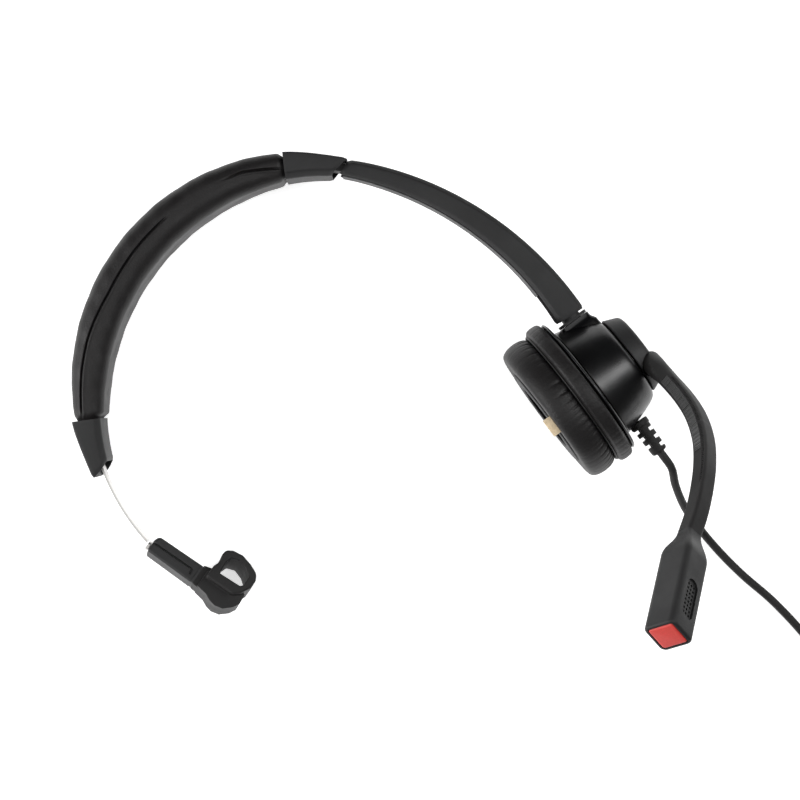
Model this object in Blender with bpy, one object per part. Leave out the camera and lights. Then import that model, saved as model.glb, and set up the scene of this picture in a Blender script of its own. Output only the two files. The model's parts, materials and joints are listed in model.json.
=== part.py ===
"""Single-ear office headset: sprung headband, padded sleeve, temple pad, ear cup and microphone boom.

Everything is laid out in the wearer's frame and in millimetres: +X leads out of the ear cup, +Y
leads to the crown and +Z to the front, from the centre of the ear cup's rim. The root empty
"ear_cup" turns that frame so that the headset lies on the ear cup, the pad and the temple pad.
"""

import math

import bmesh
import bpy
from mathutils import Matrix, Vector

MM = 0.001
FIT = 0.3          # gap between pieces that touch
FACETS = 32        # sides of a large round piece
SMALL_FACETS = 16  # sides of a pin or a screw
WELD = 2e-6        # metres: closes the slivers that a Boolean leaves

# How the headset lies: the wearer's frame turned about X, then about Y, and lifted off the table.
LYING_TURN_X = math.radians(-1.62)
LYING_TURN_Y = math.radians(-5.25)
LYING_PLACE = Vector((73.35, -38.49, 31.14))

# Headband: every strip follows one circle.
BAND_CENTRE = Vector((-85.0, 62.0, 0.0))
STRIP_RADIUS = 86.0
STRIP_THICK = 0.8
STRIP_HALF_WIDTH = 4.0
SPRING_RADIUS = 88.3
SPRING_HALF_WIDTH = 6.0
PAD_START, PAD_END = 60.0, 151.0
PAD_HALF_WIDTH = 15.5
CORE_INNER, CORE_OUTER, CORE_HALF_WIDTH, CORE_WALL = 83.6, 87.6, 8.4, 0.8
LEFT_STRIP_START, LEFT_STRIP_END = 146.0, 185.6
RIGHT_STRIP_START, RIGHT_STRIP_END = 33.5, 84.0

# Arm between the headband and the ear cup: the band's circle, then a wider one, by angle in degrees.
ARM_START, ARM_TURN, ARM_STOP = 45.2, 40.0, -4.2
ARM_RADIUS = 129.6
ARM_WALL = 1.3
ARM_LAST = 0.99    # share of the arm's length where its fork ends

# Ear cup, as distances along X.
CUSHION_FACE, CUSHION_GROOVE, SKIRT_END = -19.6, -7.7, -1.0
CUSHION_RADIUS, SKIRT_RADIUS = 30.0, 30.9
EAR_HOLLOW_RADIUS = 12.0
SHELL_START, SHELL_END = 1.6, 18.9
SHELL_RADIUS = 23.8
SHELL_WALL = 1.8
SCREW_CIRCLE = 18.0
SCREW_ANGLES = (33.0, 153.0, 273.0)
PIVOT_X = 10.9
PIVOT_SHAFT_RADIUS = 3.6
NECK_RADIUS = 5.9
NECK_TOP = 23.2
TILT_PIN_Y = 30.0
CORD_EXIT_X = 7.5

# Boom: it turns with the turret about X and leans forward from straight down.
BOOM_LEAN = math.radians(60.0)
BOOM_SIDE = 6.4
BOOM_ROUTE = ((24.0, 11.6), (24.1, 20.0), (24.0, 28.3), (23.3, 45.1), (21.3, 60.0), (17.2, 74.2),
              (11.2, 86.7), (4.0, 97.8), (-3.0, 106.8), (-9.3, 113.5))
BOOM_ROOT_SIDE = 8.4
BOOM_ROLL = math.radians(16.0)
FLEX_SHARE = 0.42  # where along the boom its bend is
KNUCKLE_RADIUS = 3.6
MIC_START, MIC_END = (-9.5, 113.7), (-37.0, 149.9)
MIC_NECK = 12.0
MIC_SIDE = 12.4
MIC_ROLL = math.radians(6.0)

# Temple pad: a hollow rubber loop that swivels on the end of the left strip.
TEMPLE_TOP = Vector((-171.2, 51.4, 0.0))
TEMPLE_AXIS = Vector((0.32, -0.947, 0.0)).normalized()
TEMPLE_SWIVEL = math.radians(16.0)
CARRIER_LENGTH, CARRIER_OUTER, CARRIER_INNER = 21.0, -2.9, 4.3
STEM_HALF_DEPTH, HEEL_HALF_DEPTH, LOOP_HALF_DEPTH = 6.5, 9.0, 13.0
SWIVEL_PIN_RADIUS = 1.1

# Cord, coil and plug, in the table's frame.
CORD_RADIUS = 1.6
CORD_POINTS = 40
CORD_ROUTE = ((78.9, -90.6, 25.4), (78.6, -101.4, 14.0), (79.9, -114.0, 4.8), (81.3, -126.7, 1.6),
              (83.2, -139.1, 1.6), (86.2, -152.3, 1.6), (87.9, -164.1, 1.6), (88.9, -174.9, 1.6),
              (90.2, -183.7, 3.0))
COIL_PLACE = Vector((113.6, -198.7, 0.0))
COIL_BASE = 0.9
COIL_MEAN_RADIUS, COIL_HALF_WIDTH, COIL_HALF_HEIGHT = 19.0, 6.6, 6.4
TAIL_ROUTE = ((118.6, -226.9, 3.0), (129.6, -232.7, 2.5), (142.6, -233.2, 3.0), (151.1, -227.7, 4.0),
              (153.6, -220.2, 4.3), (153.6, -218.1, 4.3))
PLUG_PLACE = Vector((153.6, -205.7, 0.0))
PLUG_SIZE = (16.5, 20.0, 8.6)
PLUG_RELIEF = 12.0


def wearer_matrix():
    """The wearer's frame in the world, in metres."""
    turn = Matrix.Rotation(LYING_TURN_Y, 4, "Y") @ Matrix.Rotation(LYING_TURN_X, 4, "X")
    return Matrix.Translation(LYING_PLACE * MM) @ turn


def clear_scene():
    for obj in list(bpy.data.objects):
        bpy.data.objects.remove(obj, do_unlink=True)


def material(name, colour, roughness, metallic=0.0):
    found = bpy.data.materials.get(name)
    if found:
        return found
    made = bpy.data.materials.new(name)
    made.use_nodes = True
    shader = made.node_tree.nodes["Principled BSDF"]
    shader.inputs["Base Color"].default_value = (*colour, 1.0)
    shader.inputs["Roughness"].default_value = roughness
    shader.inputs["Metallic"].default_value = metallic
    return made


MATTE = ("matte_black", (0.035, 0.035, 0.038), 0.6)
GLOSS = ("gloss_black", (0.02, 0.02, 0.022), 0.28)
RUBBER = ("black_rubber", (0.03, 0.03, 0.03), 0.75)
LEATHER = ("leatherette", (0.03, 0.028, 0.028), 0.5)
STEEL = ("spring_steel", (0.75, 0.75, 0.76), 0.25, 1.0)
RED = ("red_plastic", (0.75, 0.06, 0.06), 0.45)
CREAM = ("cream_tape", (0.7, 0.6, 0.42), 0.7)
FOAM = ("black_foam", (0.02, 0.02, 0.02), 0.95)
BOARD = ("green_board", (0.02, 0.2, 0.08), 0.5)
PAPER = ("speaker_film", (0.5, 0.5, 0.45), 0.5)


def empty(name, parent, place, turn=None):
    """A joint's parent empty, at a place in its parent's millimetre frame."""
    made = bpy.data.objects.new(name, None)
    bpy.context.scene.collection.objects.link(made)
    made.parent = parent
    made.location = Vector(place) * MM
    if turn is not None:
        made.rotation_euler = turn.to_euler()
    return made


class Body:
    """A moving group: its empty sits on its joint's axis, and its pieces are drawn around that point."""

    def __init__(self, name, parent, centre, turn=None):
        self.centre = Vector(centre)
        if parent is None:
            self.empty = bpy.data.objects.new(name, None)
            bpy.context.scene.collection.objects.link(self.empty)
            self.empty.matrix_world = wearer_matrix()
        else:
            self.empty = empty(name, parent.empty, self.centre - parent.centre, turn)

    def piece(self, name, mesh_data, look, local=False):
        """An object from a bmesh drawn in wearer millimetres, or about the body's own axis if local."""
        shift = Vector() if local else self.centre
        bmesh.ops.translate(mesh_data, verts=mesh_data.verts, vec=-shift)
        bmesh.ops.scale(mesh_data, verts=mesh_data.verts, vec=(MM, MM, MM))
        bmesh.ops.recalc_face_normals(mesh_data, faces=mesh_data.faces)
        if mesh_data.calc_volume(signed=True) < 0:
            bmesh.ops.reverse_faces(mesh_data, faces=mesh_data.faces)
        data = bpy.data.meshes.new(name)
        mesh_data.to_mesh(data)
        mesh_data.free()
        data.shade_smooth()
        data.set_sharp_from_angle(angle=math.radians(35))
        data.materials.append(material(*look))
        made = bpy.data.objects.new(name, data)
        bpy.context.scene.collection.objects.link(made)
        made.parent = self.empty
        return made


def loft(loops, closed_ring=False):
    """A solid skinned over loops of equal length: capped at both ends, or joined end to end."""
    mesh_data = bmesh.new()
    rows = [[mesh_data.verts.new(point) for point in loop] for loop in loops]
    count = len(rows[0])
    pairs = list(zip(rows, rows[1:]))
    if closed_ring:
        pairs.append((rows[-1], rows[0]))
    for lower, upper in pairs:
        for i in range(count):
            j = (i + 1) % count
            mesh_data.faces.new((lower[i], lower[j], upper[j], upper[i]))
    if not closed_ring:
        mesh_data.faces.new(list(reversed(rows[0])))
        mesh_data.faces.new(rows[-1])
    return mesh_data


def hollow_loft(outer, inner):
    """A tube whose outer and inner walls are both lofted, open at both ends."""
    mesh_data = bmesh.new()
    walls = []
    for loops in (outer, inner):
        walls.append([[mesh_data.verts.new(point) for point in loop] for loop in loops])
    count = len(outer[0])
    for rows in walls:
        for lower, upper in zip(rows, rows[1:]):
            for i in range(count):
                j = (i + 1) % count
                mesh_data.faces.new((lower[i], lower[j], upper[j], upper[i]))
    for end in (0, -1):
        for i in range(count):
            j = (i + 1) % count
            mesh_data.faces.new((walls[0][end][i], walls[0][end][j],
                                 walls[1][end][j], walls[1][end][i]))
    return mesh_data


def turned(profile, facets=FACETS, origin=(0, 0, 0), axis="X"):
    """A closed (along, radius) outline turned about an axis. A point at radius 0 becomes a pole."""
    mesh_data = bmesh.new()
    spins = {"X": lambda a, r, t: (a, r * math.cos(t), r * math.sin(t)),
             "Y": lambda a, r, t: (r * math.sin(t), a, r * math.cos(t)),
             "Z": lambda a, r, t: (r * math.cos(t), r * math.sin(t), a)}
    place = Vector(origin)
    rings = []
    for along, radius in profile:
        if radius == 0:
            rings.append([mesh_data.verts.new(place + Vector(spins[axis](along, 0, 0)))])
            continue
        turns = [step * math.tau / facets for step in range(facets)]
        points = [place + Vector(spins[axis](along, radius, turn)) for turn in turns]
        rings.append([mesh_data.verts.new(point) for point in points])
    for ring, following in zip(rings, rings[1:] + rings[:1]):
        for i in range(facets):
            j = (i + 1) % facets
            corners = [ring[i % len(ring)], ring[j % len(ring)],
                       following[j % len(following)], following[i % len(following)]]
            corners = [c for k, c in enumerate(corners) if c not in corners[:k]]
            if len(corners) > 2:
                mesh_data.faces.new(corners)
    return mesh_data


def block(low, high):
    """A box between two corners."""
    mesh_data = bmesh.new()
    bmesh.ops.create_cube(mesh_data, size=1.0)
    low, high = Vector(low), Vector(high)
    bmesh.ops.scale(mesh_data, verts=mesh_data.verts, vec=high - low)
    bmesh.ops.translate(mesh_data, verts=mesh_data.verts, vec=(low + high) / 2)
    return mesh_data


def bevel(obj, width, segments=1, angle=35):
    made = obj.modifiers.new("bevel", "BEVEL")
    made.width = width * MM
    made.segments = segments
    made.limit_method = "ANGLE"
    made.angle_limit = math.radians(angle)
    return obj


def cut(obj, body, mesh_data, operation="DIFFERENCE", local=False):
    """A Boolean with a hidden cutter in the same body."""
    number = len([m for m in obj.modifiers if m.type == "BOOLEAN"])
    cutter = body.piece(f"{obj.name}_cutter_{number}", mesh_data, MATTE, local)
    cutter.hide_render = True
    cutter.display_type = "WIRE"
    made = obj.modifiers.new(f"cut_{number}", "BOOLEAN")
    made.operation = operation
    made.solver = "EXACT"
    made.object = cutter
    weld = obj.modifiers.new(f"weld_{number}", "WELD")
    weld.merge_threshold = WELD
    return obj


def on_band(angle, radius, z):
    """A point of the headband, from its angle in degrees, its radius and its place across the band."""
    turn = math.radians(angle)
    return BAND_CENTRE + Vector((radius * math.cos(turn), radius * math.sin(turn), z))


def rounded_section(low, high, half_width, corner, points=3):
    """(radius, z) points of a rounded rectangle between two radii."""
    corner = min(corner, (high - low) / 2 - 0.01, half_width - 0.01)
    section = []
    for quarter, (r_mid, z_mid) in enumerate(((high - corner, half_width - corner),
                                              (low + corner, half_width - corner),
                                              (low + corner, -half_width + corner),
                                              (high - corner, -half_width + corner))):
        for step in range(points):
            turn = math.pi / 2 * (quarter + step / (points - 1))
            section.append((r_mid + corner * math.cos(turn), z_mid + corner * math.sin(turn)))
    return section


def band_loops(start, end, steps, section_at):
    """Loops along the band: section_at(share) gives the (radius, z) points at that share of the way."""
    loops = []
    for step in range(steps + 1):
        share = step / steps
        angle = start + (end - start) * share
        loops.append([on_band(angle, radius, z) for radius, z in section_at(share)])
    return loops


def flat_bar(radius, thick, half_width):
    low, high = radius - thick / 2, radius + thick / 2
    return [(high, half_width), (low, half_width), (low, -half_width), (high, -half_width)]


def blend(a, b, share):
    return a + (b - a) * share


def swell(share):
    """0 at both ends and 1 along the middle of the pad."""
    return math.sin(math.pi * share) ** 0.55


# Headband --------------------------------------------------------------------------------------

def make_spring_band(body):
    loops = band_loops(55.5, 155.0, 24, lambda s: flat_bar(SPRING_RADIUS, STRIP_THICK, SPRING_HALF_WIDTH))
    body.piece("spring_band", loft(loops), STEEL)


def make_pad(body):
    """The padded sleeve, thin at its ends, and the stiff channel inside it that guides the strips."""
    start, end = PAD_START + FIT, PAD_END - FIT
    gap = FIT + 0.1

    def outer(share):
        full = swell(0.02 + 0.96 * share)
        return rounded_section(blend(80.8, 76.4, full ** 1.3), blend(90.6, 92.6, full),
                               blend(11.5, PAD_HALF_WIDTH, full), blend(4.0, 6.8, full), 4)

    def channel(_):
        return rounded_section(CORE_INNER - gap, SPRING_RADIUS + 0.9, CORE_HALF_WIDTH + gap, 0.6, 4)

    sleeve = hollow_loft(band_loops(start, end, 22, outer), band_loops(start, end, 22, channel))
    body.piece("pad_sleeve", sleeve, LEATHER)

    def core(_):
        return rounded_section(CORE_INNER, CORE_OUTER, CORE_HALF_WIDTH, 0.5, 2)

    def slot(_):
        return rounded_section(CORE_INNER + CORE_WALL, CORE_OUTER - CORE_WALL, CORE_HALF_WIDTH - 1.2, 0.2, 2)

    liner = hollow_loft(band_loops(start + 0.5, end - 0.5, 22, core),
                        band_loops(start + 0.5, end - 0.5, 22, slot))
    body.piece("pad_core", liner, MATTE)


def end_cap(body, name, angles, radii, widths):
    """A tapered sleeve from the pad to a slanted mouth. Each pair is (at the pad, at the mouth)."""
    steps = 8
    walls = []
    for wall in (0.0, 1.1):
        loops = []
        for step in range(steps + 1):
            share = step / steps
            taper = math.sin(share * math.pi / 2) ** 1.3
            low = blend(radii[0][0], radii[1][0], share) + wall * 0.8
            high = blend(radii[0][1], radii[1][1], taper) - wall
            half = blend(widths[0], widths[1], share) - wall
            loop = []
            for radius, z in rounded_section(low, high, half, 2.4 - wall, 4):
                outward = (radius - low) / (high - low)
                mouth = blend(angles[1][0], angles[1][1], outward)
                loop.append(on_band(blend(angles[0], mouth, share), radius, z))
            loops.append(loop)
        walls.append(loops)
    body.piece(name, hollow_loft(*walls), MATTE)


def make_end_caps(body):
    end_cap(body, "end_cap_left", (PAD_END, (162.2, 165.0)), ((81.2, 91.9), (82.4, 89.8)), (13.2, 12.0))
    end_cap(body, "end_cap_right", (PAD_START, (47.8, 46.3)), ((80.6, 91.0), (81.6, 89.2)), (13.2, 12.0))


# Sliding strips --------------------------------------------------------------------------------

def make_strip(body, name, start, end):
    loops = band_loops(start, end, 20, lambda s: flat_bar(STRIP_RADIUS, STRIP_THICK, STRIP_HALF_WIDTH))
    body.piece(name, loft(loops), STEEL)


def make_runner(body, name, start):
    """The small plate on a strip's hidden end that keeps it straight in the channel."""
    loops = band_loops(start, start + 4.0, 3, lambda s: flat_bar(STRIP_RADIUS - 0.95, 0.7, 6.7))
    body.piece(name, loft(loops), MATTE)


# Arm -------------------------------------------------------------------------------------------

def arm_station(share):
    """Centre, outward direction, thickness and half width of the arm at a share of its length."""
    first = math.radians(ARM_START - ARM_TURN) * STRIP_RADIUS
    second = math.radians(ARM_TURN - ARM_STOP) * ARM_RADIUS
    distance = share * (first + second)
    if distance < first:
        centre, radius = BAND_CENTRE, STRIP_RADIUS
        turn = math.radians(ARM_START) - distance / STRIP_RADIUS
    else:
        radius = ARM_RADIUS
        centre = on_band(ARM_TURN, STRIP_RADIUS - ARM_RADIUS, 0.0)
        turn = math.radians(ARM_TURN) - (distance - first) / ARM_RADIUS
    outward = Vector((math.cos(turn), math.sin(turn), 0.0))
    return centre + outward * radius, outward, blend(6.0, 11.3, share ** 0.85), blend(7.6, 9.0, share)


def arm_loops(start, end, steps, section_at):
    loops = []
    for step in range(steps + 1):
        centre, outward, thick, half_width = arm_station(blend(start, end, step / steps))
        section = section_at(thick / 2, half_width)
        loops.append([centre + outward * n + Vector((0, 0, z)) for n, z in section])
    return loops


def make_arm(body):
    """A U-shaped outer shell, and a cover that closes its inner side as far as the fork."""
    def shell(half, width):
        floor = half - ARM_WALL - 0.2
        inside = width - ARM_WALL - 0.6
        return [(half, width - 1.3), (half - 1.3, width), (-half + 1.2, width), (-half, width - 1.4),
                (-half, inside), (floor, inside), (floor, -inside), (-half, -inside),
                (-half, -width + 1.4), (-half + 1.2, -width), (half - 1.3, -width), (half, -width + 1.3)]

    def cover(half, width):
        inside = width - ARM_WALL - 0.6 - FIT
        return [(-half + 1.3, inside), (-half - 0.5, inside), (-half - 0.5, -inside), (-half + 1.3, -inside)]

    outer = body.piece("arm_outer", loft(arm_loops(0.0, ARM_LAST, 20, shell)), MATTE)
    pin_hole = turned([(-12, 0), (-12, 1.4), (12, 1.4), (12, 0)], SMALL_FACETS, (PIVOT_X, TILT_PIN_Y, 0), "Z")
    cut(outer, body, pin_hole)
    body.piece("arm_cover", loft(arm_loops(0.0, 0.86, 17, cover)), MATTE)
    pin = turned([(-8.6, 0), (-8.6, 1.2), (8.6, 1.2), (8.6, 0)], SMALL_FACETS, (PIVOT_X, TILT_PIN_Y, 0), "Z")
    body.piece("tilt_pin", pin, STEEL)
    anchor = band_loops(34.0, 40.0, 3, lambda s: flat_bar(STRIP_RADIUS + 1.15, 0.8, 5.0))
    body.piece("strip_anchor", loft(anchor), MATTE)


def make_pivot_post(body):
    """The swivel shaft under the arm: flange in the cup, shaft, collar and the tongue the arm tilts on."""
    shaft = turned([(14.4, 0), (14.4, 5.2), (15.7, 5.2), (15.7, PIVOT_SHAFT_RADIUS),
                    (NECK_TOP + FIT, PIVOT_SHAFT_RADIUS), (NECK_TOP + FIT, 5.4), (24.3, 5.4), (24.3, 0)],
                   24, (PIVOT_X, 0, 0), "Y")
    post = body.piece("pivot_post", shaft, MATTE)
    cut(post, body, block((PIVOT_X - 2.2, 23.9, -5.0), (PIVOT_X + 2.2, 34.0, 5.0)), "UNION")
    pin_hole = turned([(-7, 0), (-7, 1.4), (7, 1.4), (7, 0)], SMALL_FACETS, (PIVOT_X, TILT_PIN_Y, 0), "Z")
    cut(post, body, pin_hole)


# Ear cup ---------------------------------------------------------------------------------------

def screw_places():
    return [(SCREW_CIRCLE * math.cos(math.radians(a)), SCREW_CIRCLE * math.sin(math.radians(a)))
            for a in SCREW_ANGLES]


def make_housing(body):
    """The outer shell with its neck and screw posts, open towards the ear."""
    inner_end = SHELL_END - SHELL_WALL
    profile = [(SHELL_START, SHELL_RADIUS), (7.0, 22.5), (12.0, 20.9), (16.2, 19.3), (18.0, 18.2),
               (SHELL_END, 16.6), (SHELL_END, 5.3), (inner_end, 5.3), (inner_end, 15.4),
               (15.4, 17.4), (11.5, 19.1), (6.5, 20.7), (SHELL_START, SHELL_RADIUS - 1.9)]
    housing = body.piece("housing", turned(profile), GLOSS)
    neck = turned([(16.4, 0), (16.4, NECK_RADIUS), (NECK_TOP, NECK_RADIUS), (NECK_TOP, 0)],
                  24, (PIVOT_X, 0, 0), "Y")
    cut(housing, body, neck, "UNION")
    for y, z in screw_places():
        post = turned([(2.0, 0), (2.0, 2.6), (11.0, 2.6), (11.0, 0)], SMALL_FACETS, (0, y, z))
        cut(housing, body, post, "UNION")
        pilot = turned([(0.0, 0), (0.0, 1.0), (9.0, 1.0), (9.0, 0)], 12, (0, y, z))
        cut(housing, body, pilot)
    shaft_hole = turned([(12, 0), (12, PIVOT_SHAFT_RADIUS + FIT), (30, PIVOT_SHAFT_RADIUS + FIT), (30, 0)],
                        24, (PIVOT_X, 0, 0), "Y")
    cut(housing, body, shaft_hole)
    cord_hole = turned([(-30, 0), (-30, 2.6), (-14, 2.6), (-14, 0)], SMALL_FACETS, (CORD_EXIT_X, 0, 0), "Y")
    cut(housing, body, cord_hole)


def make_baffle(body):
    """The plate that closes the housing, pierced in front of the speaker, and its three screws."""
    profile = [(-1.2, 0), (-1.2, 26.8), (-0.5, 26.8), (-0.5, 21.1), (1.3, 21.1), (1.3, 15.6), (0.4, 15.2),
               (0.4, 0)]
    plate = body.piece("baffle_plate", turned(profile), MATTE)
    for ring, count in ((0.0, 1), (5.0, 6), (9.5, 10)):
        for hole in range(count):
            turn = hole * math.tau / count
            place = (0, ring * math.cos(turn), ring * math.sin(turn))
            cut(plate, body, turned([(-3, 0), (-3, 1.2), (3, 1.2), (3, 0)], 8, place))
    for number, (y, z) in enumerate(screw_places(), 1):
        cut(plate, body, turned([(-3, 0), (-3, 1.3), (3, 1.3), (3, 0)], 12, (0, y, z)))
        screw = [(-2.6, 0), (-2.6, 1.5), (-2.2, 2.1), (-1.5, 2.1), (-1.5, 0.8), (7.0, 0.8), (8.0, 0)]
        body.piece(f"baffle_screw_{number}", turned(screw, 12, (0, y, z)), STEEL)


def make_speaker(body):
    frame = [(0.8, 14.8), (0.8, 13.6), (2.4, 13.0), (2.4, 8.6), (6.4, 7.6), (6.4, 9.6), (3.6, 13.8),
             (2.4, 14.8)]
    body.piece("speaker_frame", turned(frame, 28), MATTE)
    body.piece("speaker_magnet", turned([(6.7, 0), (6.7, 9.0), (10.4, 9.0), (10.4, 0)], 28), STEEL)
    cone = [(1.5, 0), (1.9, 3.5), (0.9, 6.5), (1.4, 12.8), (1.8, 12.8), (1.3, 6.7), (2.3, 3.6), (1.9, 0)]
    body.piece("speaker_cone", turned(cone, 28), PAPER)


def make_cushion(body):
    """The sewn cushion with its ear hollow, its gathered skirt, and the ring that the skirt grips."""
    rim = [(1.3, 28.0), (1.3, 24.2), (1.0, 21.5), (-0.1, 21.5), (-0.1, 27.6), (0.4, 28.3)]
    body.piece("rim_ring", turned(rim), GLOSS)
    middle = (CUSHION_FACE + CUSHION_GROOVE) / 2
    half = (CUSHION_GROOVE - CUSHION_FACE) / 2
    lobe = []
    for step in range(9):
        turn = math.pi * step / 8
        lobe.append((middle + half * math.cos(turn),
                     blend(26.0, CUSHION_RADIUS, max(math.sin(turn), 0.0) ** 0.6)))
    for step in range(7):
        turn = math.pi * (1 - step / 6)
        lobe.append((middle + half * math.cos(turn),
                     blend(EAR_HOLLOW_RADIUS + 4.0, EAR_HOLLOW_RADIUS, max(math.sin(turn), 0.0) ** 0.6)))
    body.piece("ear_cushion", turned(lobe), LEATHER)
    skirt = [(SKIRT_END - 0.6, 27.6), (SKIRT_END - 0.8, 29.6), (-3.0, SKIRT_RADIUS),
             (-6.0, SKIRT_RADIUS - 0.3), (CUSHION_GROOVE + FIT, 28.0),
             (CUSHION_GROOVE + FIT, 24.2), (-4.6, 24.2), (-4.6, 27.6)]
    body.piece("cushion_skirt", turned(skirt), LEATHER)
    ring = [(-1.5, 21.0), (-1.5, 27.2), (-4.3, 27.2), (-4.3, 23.8), (CUSHION_GROOVE + FIT, 23.8),
            (CUSHION_GROOVE + FIT, 21.0)]
    body.piece("cushion_ring", turned(ring), MATTE)
    body.piece("speaker_cloth", turned([(-7.2, 0), (-7.2, 20.6), (-5.0, 20.6), (-5.0, 0)], 28), FOAM)
    tag = block((CUSHION_FACE - 1.0, -6.0, 21.5), (CUSHION_FACE - FIT, 1.0, 24.5))
    body.piece("cushion_tag", tag, CREAM)


def make_turret_bearing(body):
    """The bush that the turret's axle turns in, and the small board beside it."""
    bush = [(16.6, 3.2), (16.6, 5.0), (19.1, 5.0), (19.1, 3.2)]
    body.piece("turret_bush", turned(bush, 24), RUBBER)
    body.piece("circuit_board", block((12.4, -13.5, -6.5), (13.4, -6.5, 6.5)), BOARD)


# Boom ------------------------------------------------------------------------------------------

def boom_place(x, rho, normal=0.0):
    """A point of the boom's plane: x along the cup's axis, rho away from it, normal off the plane."""
    return Vector((x, -rho * math.cos(BOOM_LEAN) + normal * math.sin(BOOM_LEAN),
                   rho * math.sin(BOOM_LEAN) + normal * math.cos(BOOM_LEAN)))


def smooth_route(route, count):
    """Evenly spaced points of a Catmull-Rom curve through a route's points."""
    points = [Vector(point) for point in route]
    points = [2 * points[0] - points[1], *points, 2 * points[-1] - points[-2]]
    dense = []
    for a, b, c, d in zip(points, points[1:], points[2:], points[3:]):
        for step in range(12):
            t = step / 12
            dense.append(0.5 * (2 * b + (c - a) * t + (2 * a - 5 * b + 4 * c - d) * t * t
                                + (3 * b - a - 3 * c + d) * t ** 3))
    dense.append(points[-2])
    lengths = [0.0]
    for a, b in zip(dense, dense[1:]):
        lengths.append(lengths[-1] + (b - a).length)
    even = []
    place = 0
    for number in range(count):
        target = lengths[-1] * number / (count - 1)
        while place < len(dense) - 2 and lengths[place + 1] < target:
            place += 1
        share = (target - lengths[place]) / (lengths[place + 1] - lengths[place])
        even.append(dense[place].lerp(dense[place + 1], min(share, 1.0)))
    return even


def boom_section(side, roundness, roll, points=3):
    """A rounded square of 4 x points corners; roundness 1 makes it a circle of the same width."""
    section = []
    corner = blend(side * 0.18, side / 2, roundness)
    for a, b in rounded_section(-side / 2, side / 2, side / 2, corner, points):
        section.append((a * math.cos(roll) - b * math.sin(roll), a * math.sin(roll) + b * math.cos(roll)))
    return section


def boom_loops(route, first, last, section_at):
    """Loops square to a route in the boom's plane, from its point first to its point last."""
    loops = []
    for number in range(first, last + 1):
        along = (route[min(number + 1, len(route) - 1)] - route[max(number - 1, 0)]).normalized()
        across = Vector((along.y, -along.x))
        loops.append([boom_place(*(route[number] + across * a), b)
                      for a, b in section_at(number / (len(route) - 1))])
    return loops


def boom_shape(share):
    """Round at the root, square from a quarter of the way on, slimmest at the flexible middle."""
    settle = min(share / 0.16, 1.0)
    return boom_section(blend(BOOM_ROOT_SIDE, BOOM_SIDE, settle), (1 - settle) * 0.98, BOOM_ROLL * settle)


def make_turret(body):
    profile = [(19.25, 15.9), (19.6, 16.6), (25.2, 14.2), (26.0, 13.2), (26.0, 9.7), (24.0, 9.7), (24.0, 3.2),
               (22.6, 3.2), (22.6, 12.4), (19.25, 14.4)]
    shell = body.piece("boom_turret", turned(profile), MATTE)
    pocket = []
    for rho in (10.8, 19.0):
        turns = [step * math.tau / 20 for step in range(20)]
        pocket.append([boom_place(24.0 + 4.6 * math.cos(t), rho, 4.6 * math.sin(t)) for t in turns])
    cut(shell, body, loft(pocket))
    cap = [(24.95, 0), (24.95, 9.4), (26.0, 9.4), (26.3, 8.9), (26.3, 0)]
    body.piece("turret_cap", turned(cap), GLOSS)
    axle = [(14.6, 0), (14.6, 3.0), (15.3, 3.0), (15.3, 2.4), (16.2, 2.4), (16.2, 3.0), (24.1, 3.0),
            (24.1, 5.0), (24.7, 5.0), (24.7, 0)]
    body.piece("turret_axle", turned(axle, 24), STEEL)
    body.piece("axle_clip", turned([(15.5, 2.6), (15.5, 5.4), (16.1, 5.4), (16.1, 2.6)], 24), STEEL)
    body.piece("turret_washer", turned([(19.25, 5.6), (19.25, 9.0), (19.65, 9.0), (19.65, 5.6)], 28), STEEL)


def make_boom(lower, upper):
    """The two halves of the flexible boom, which meet in a round knuckle."""
    route = smooth_route(BOOM_ROUTE, 41)
    bend = int(FLEX_SHARE * 40)
    normal = boom_place(0, 0, 1)
    centre = boom_place(*route[bend])

    def knuckle(radius, reach):
        rings = []
        along = (route[bend + 1] - route[bend - 1]).normalized()
        across = Vector((along.y, -along.x))
        for side in (-reach, reach):
            ring = []
            for step in range(20):
                turn = step * math.tau / 20
                flat = along * (radius * math.cos(turn)) + across * (radius * math.sin(turn))
                ring.append(centre + boom_place(*flat) + normal * side)
            rings.append(ring)
        return loft(rings)

    root = lower.piece("boom_lower", loft(boom_loops(route, 0, bend, boom_shape)), RUBBER)
    cut(root, lower, knuckle(KNUCKLE_RADIUS, 2.6), "UNION")
    tip = upper.piece("boom_upper", loft(boom_loops(route, bend, 40, boom_shape)), RUBBER)
    cut(tip, upper, knuckle(KNUCKLE_RADIUS + 0.4, 6.0))


def mic_place(along, across, normal):
    """A point of the microphone head: along it, outward across it and off the boom's plane."""
    start, end = Vector(MIC_START), Vector(MIC_END)
    forward = (end - start).normalized()
    outward = Vector((-forward.y, forward.x)) * -1
    turned_across = across * math.cos(MIC_ROLL) - normal * math.sin(MIC_ROLL)
    turned_normal = across * math.sin(MIC_ROLL) + normal * math.cos(MIC_ROLL)
    return boom_place(*(start + forward * along + outward * turned_across), turned_normal)


def mic_box(along, across, normal):
    """A box in the microphone head's own directions, from (low, high) pairs."""
    return loft([[mic_place(a, c, n) for c, n in ((across[0], normal[0]), (across[1], normal[0]),
                                                  (across[1], normal[1]), (across[0], normal[1]))]
                 for a in along])


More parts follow.
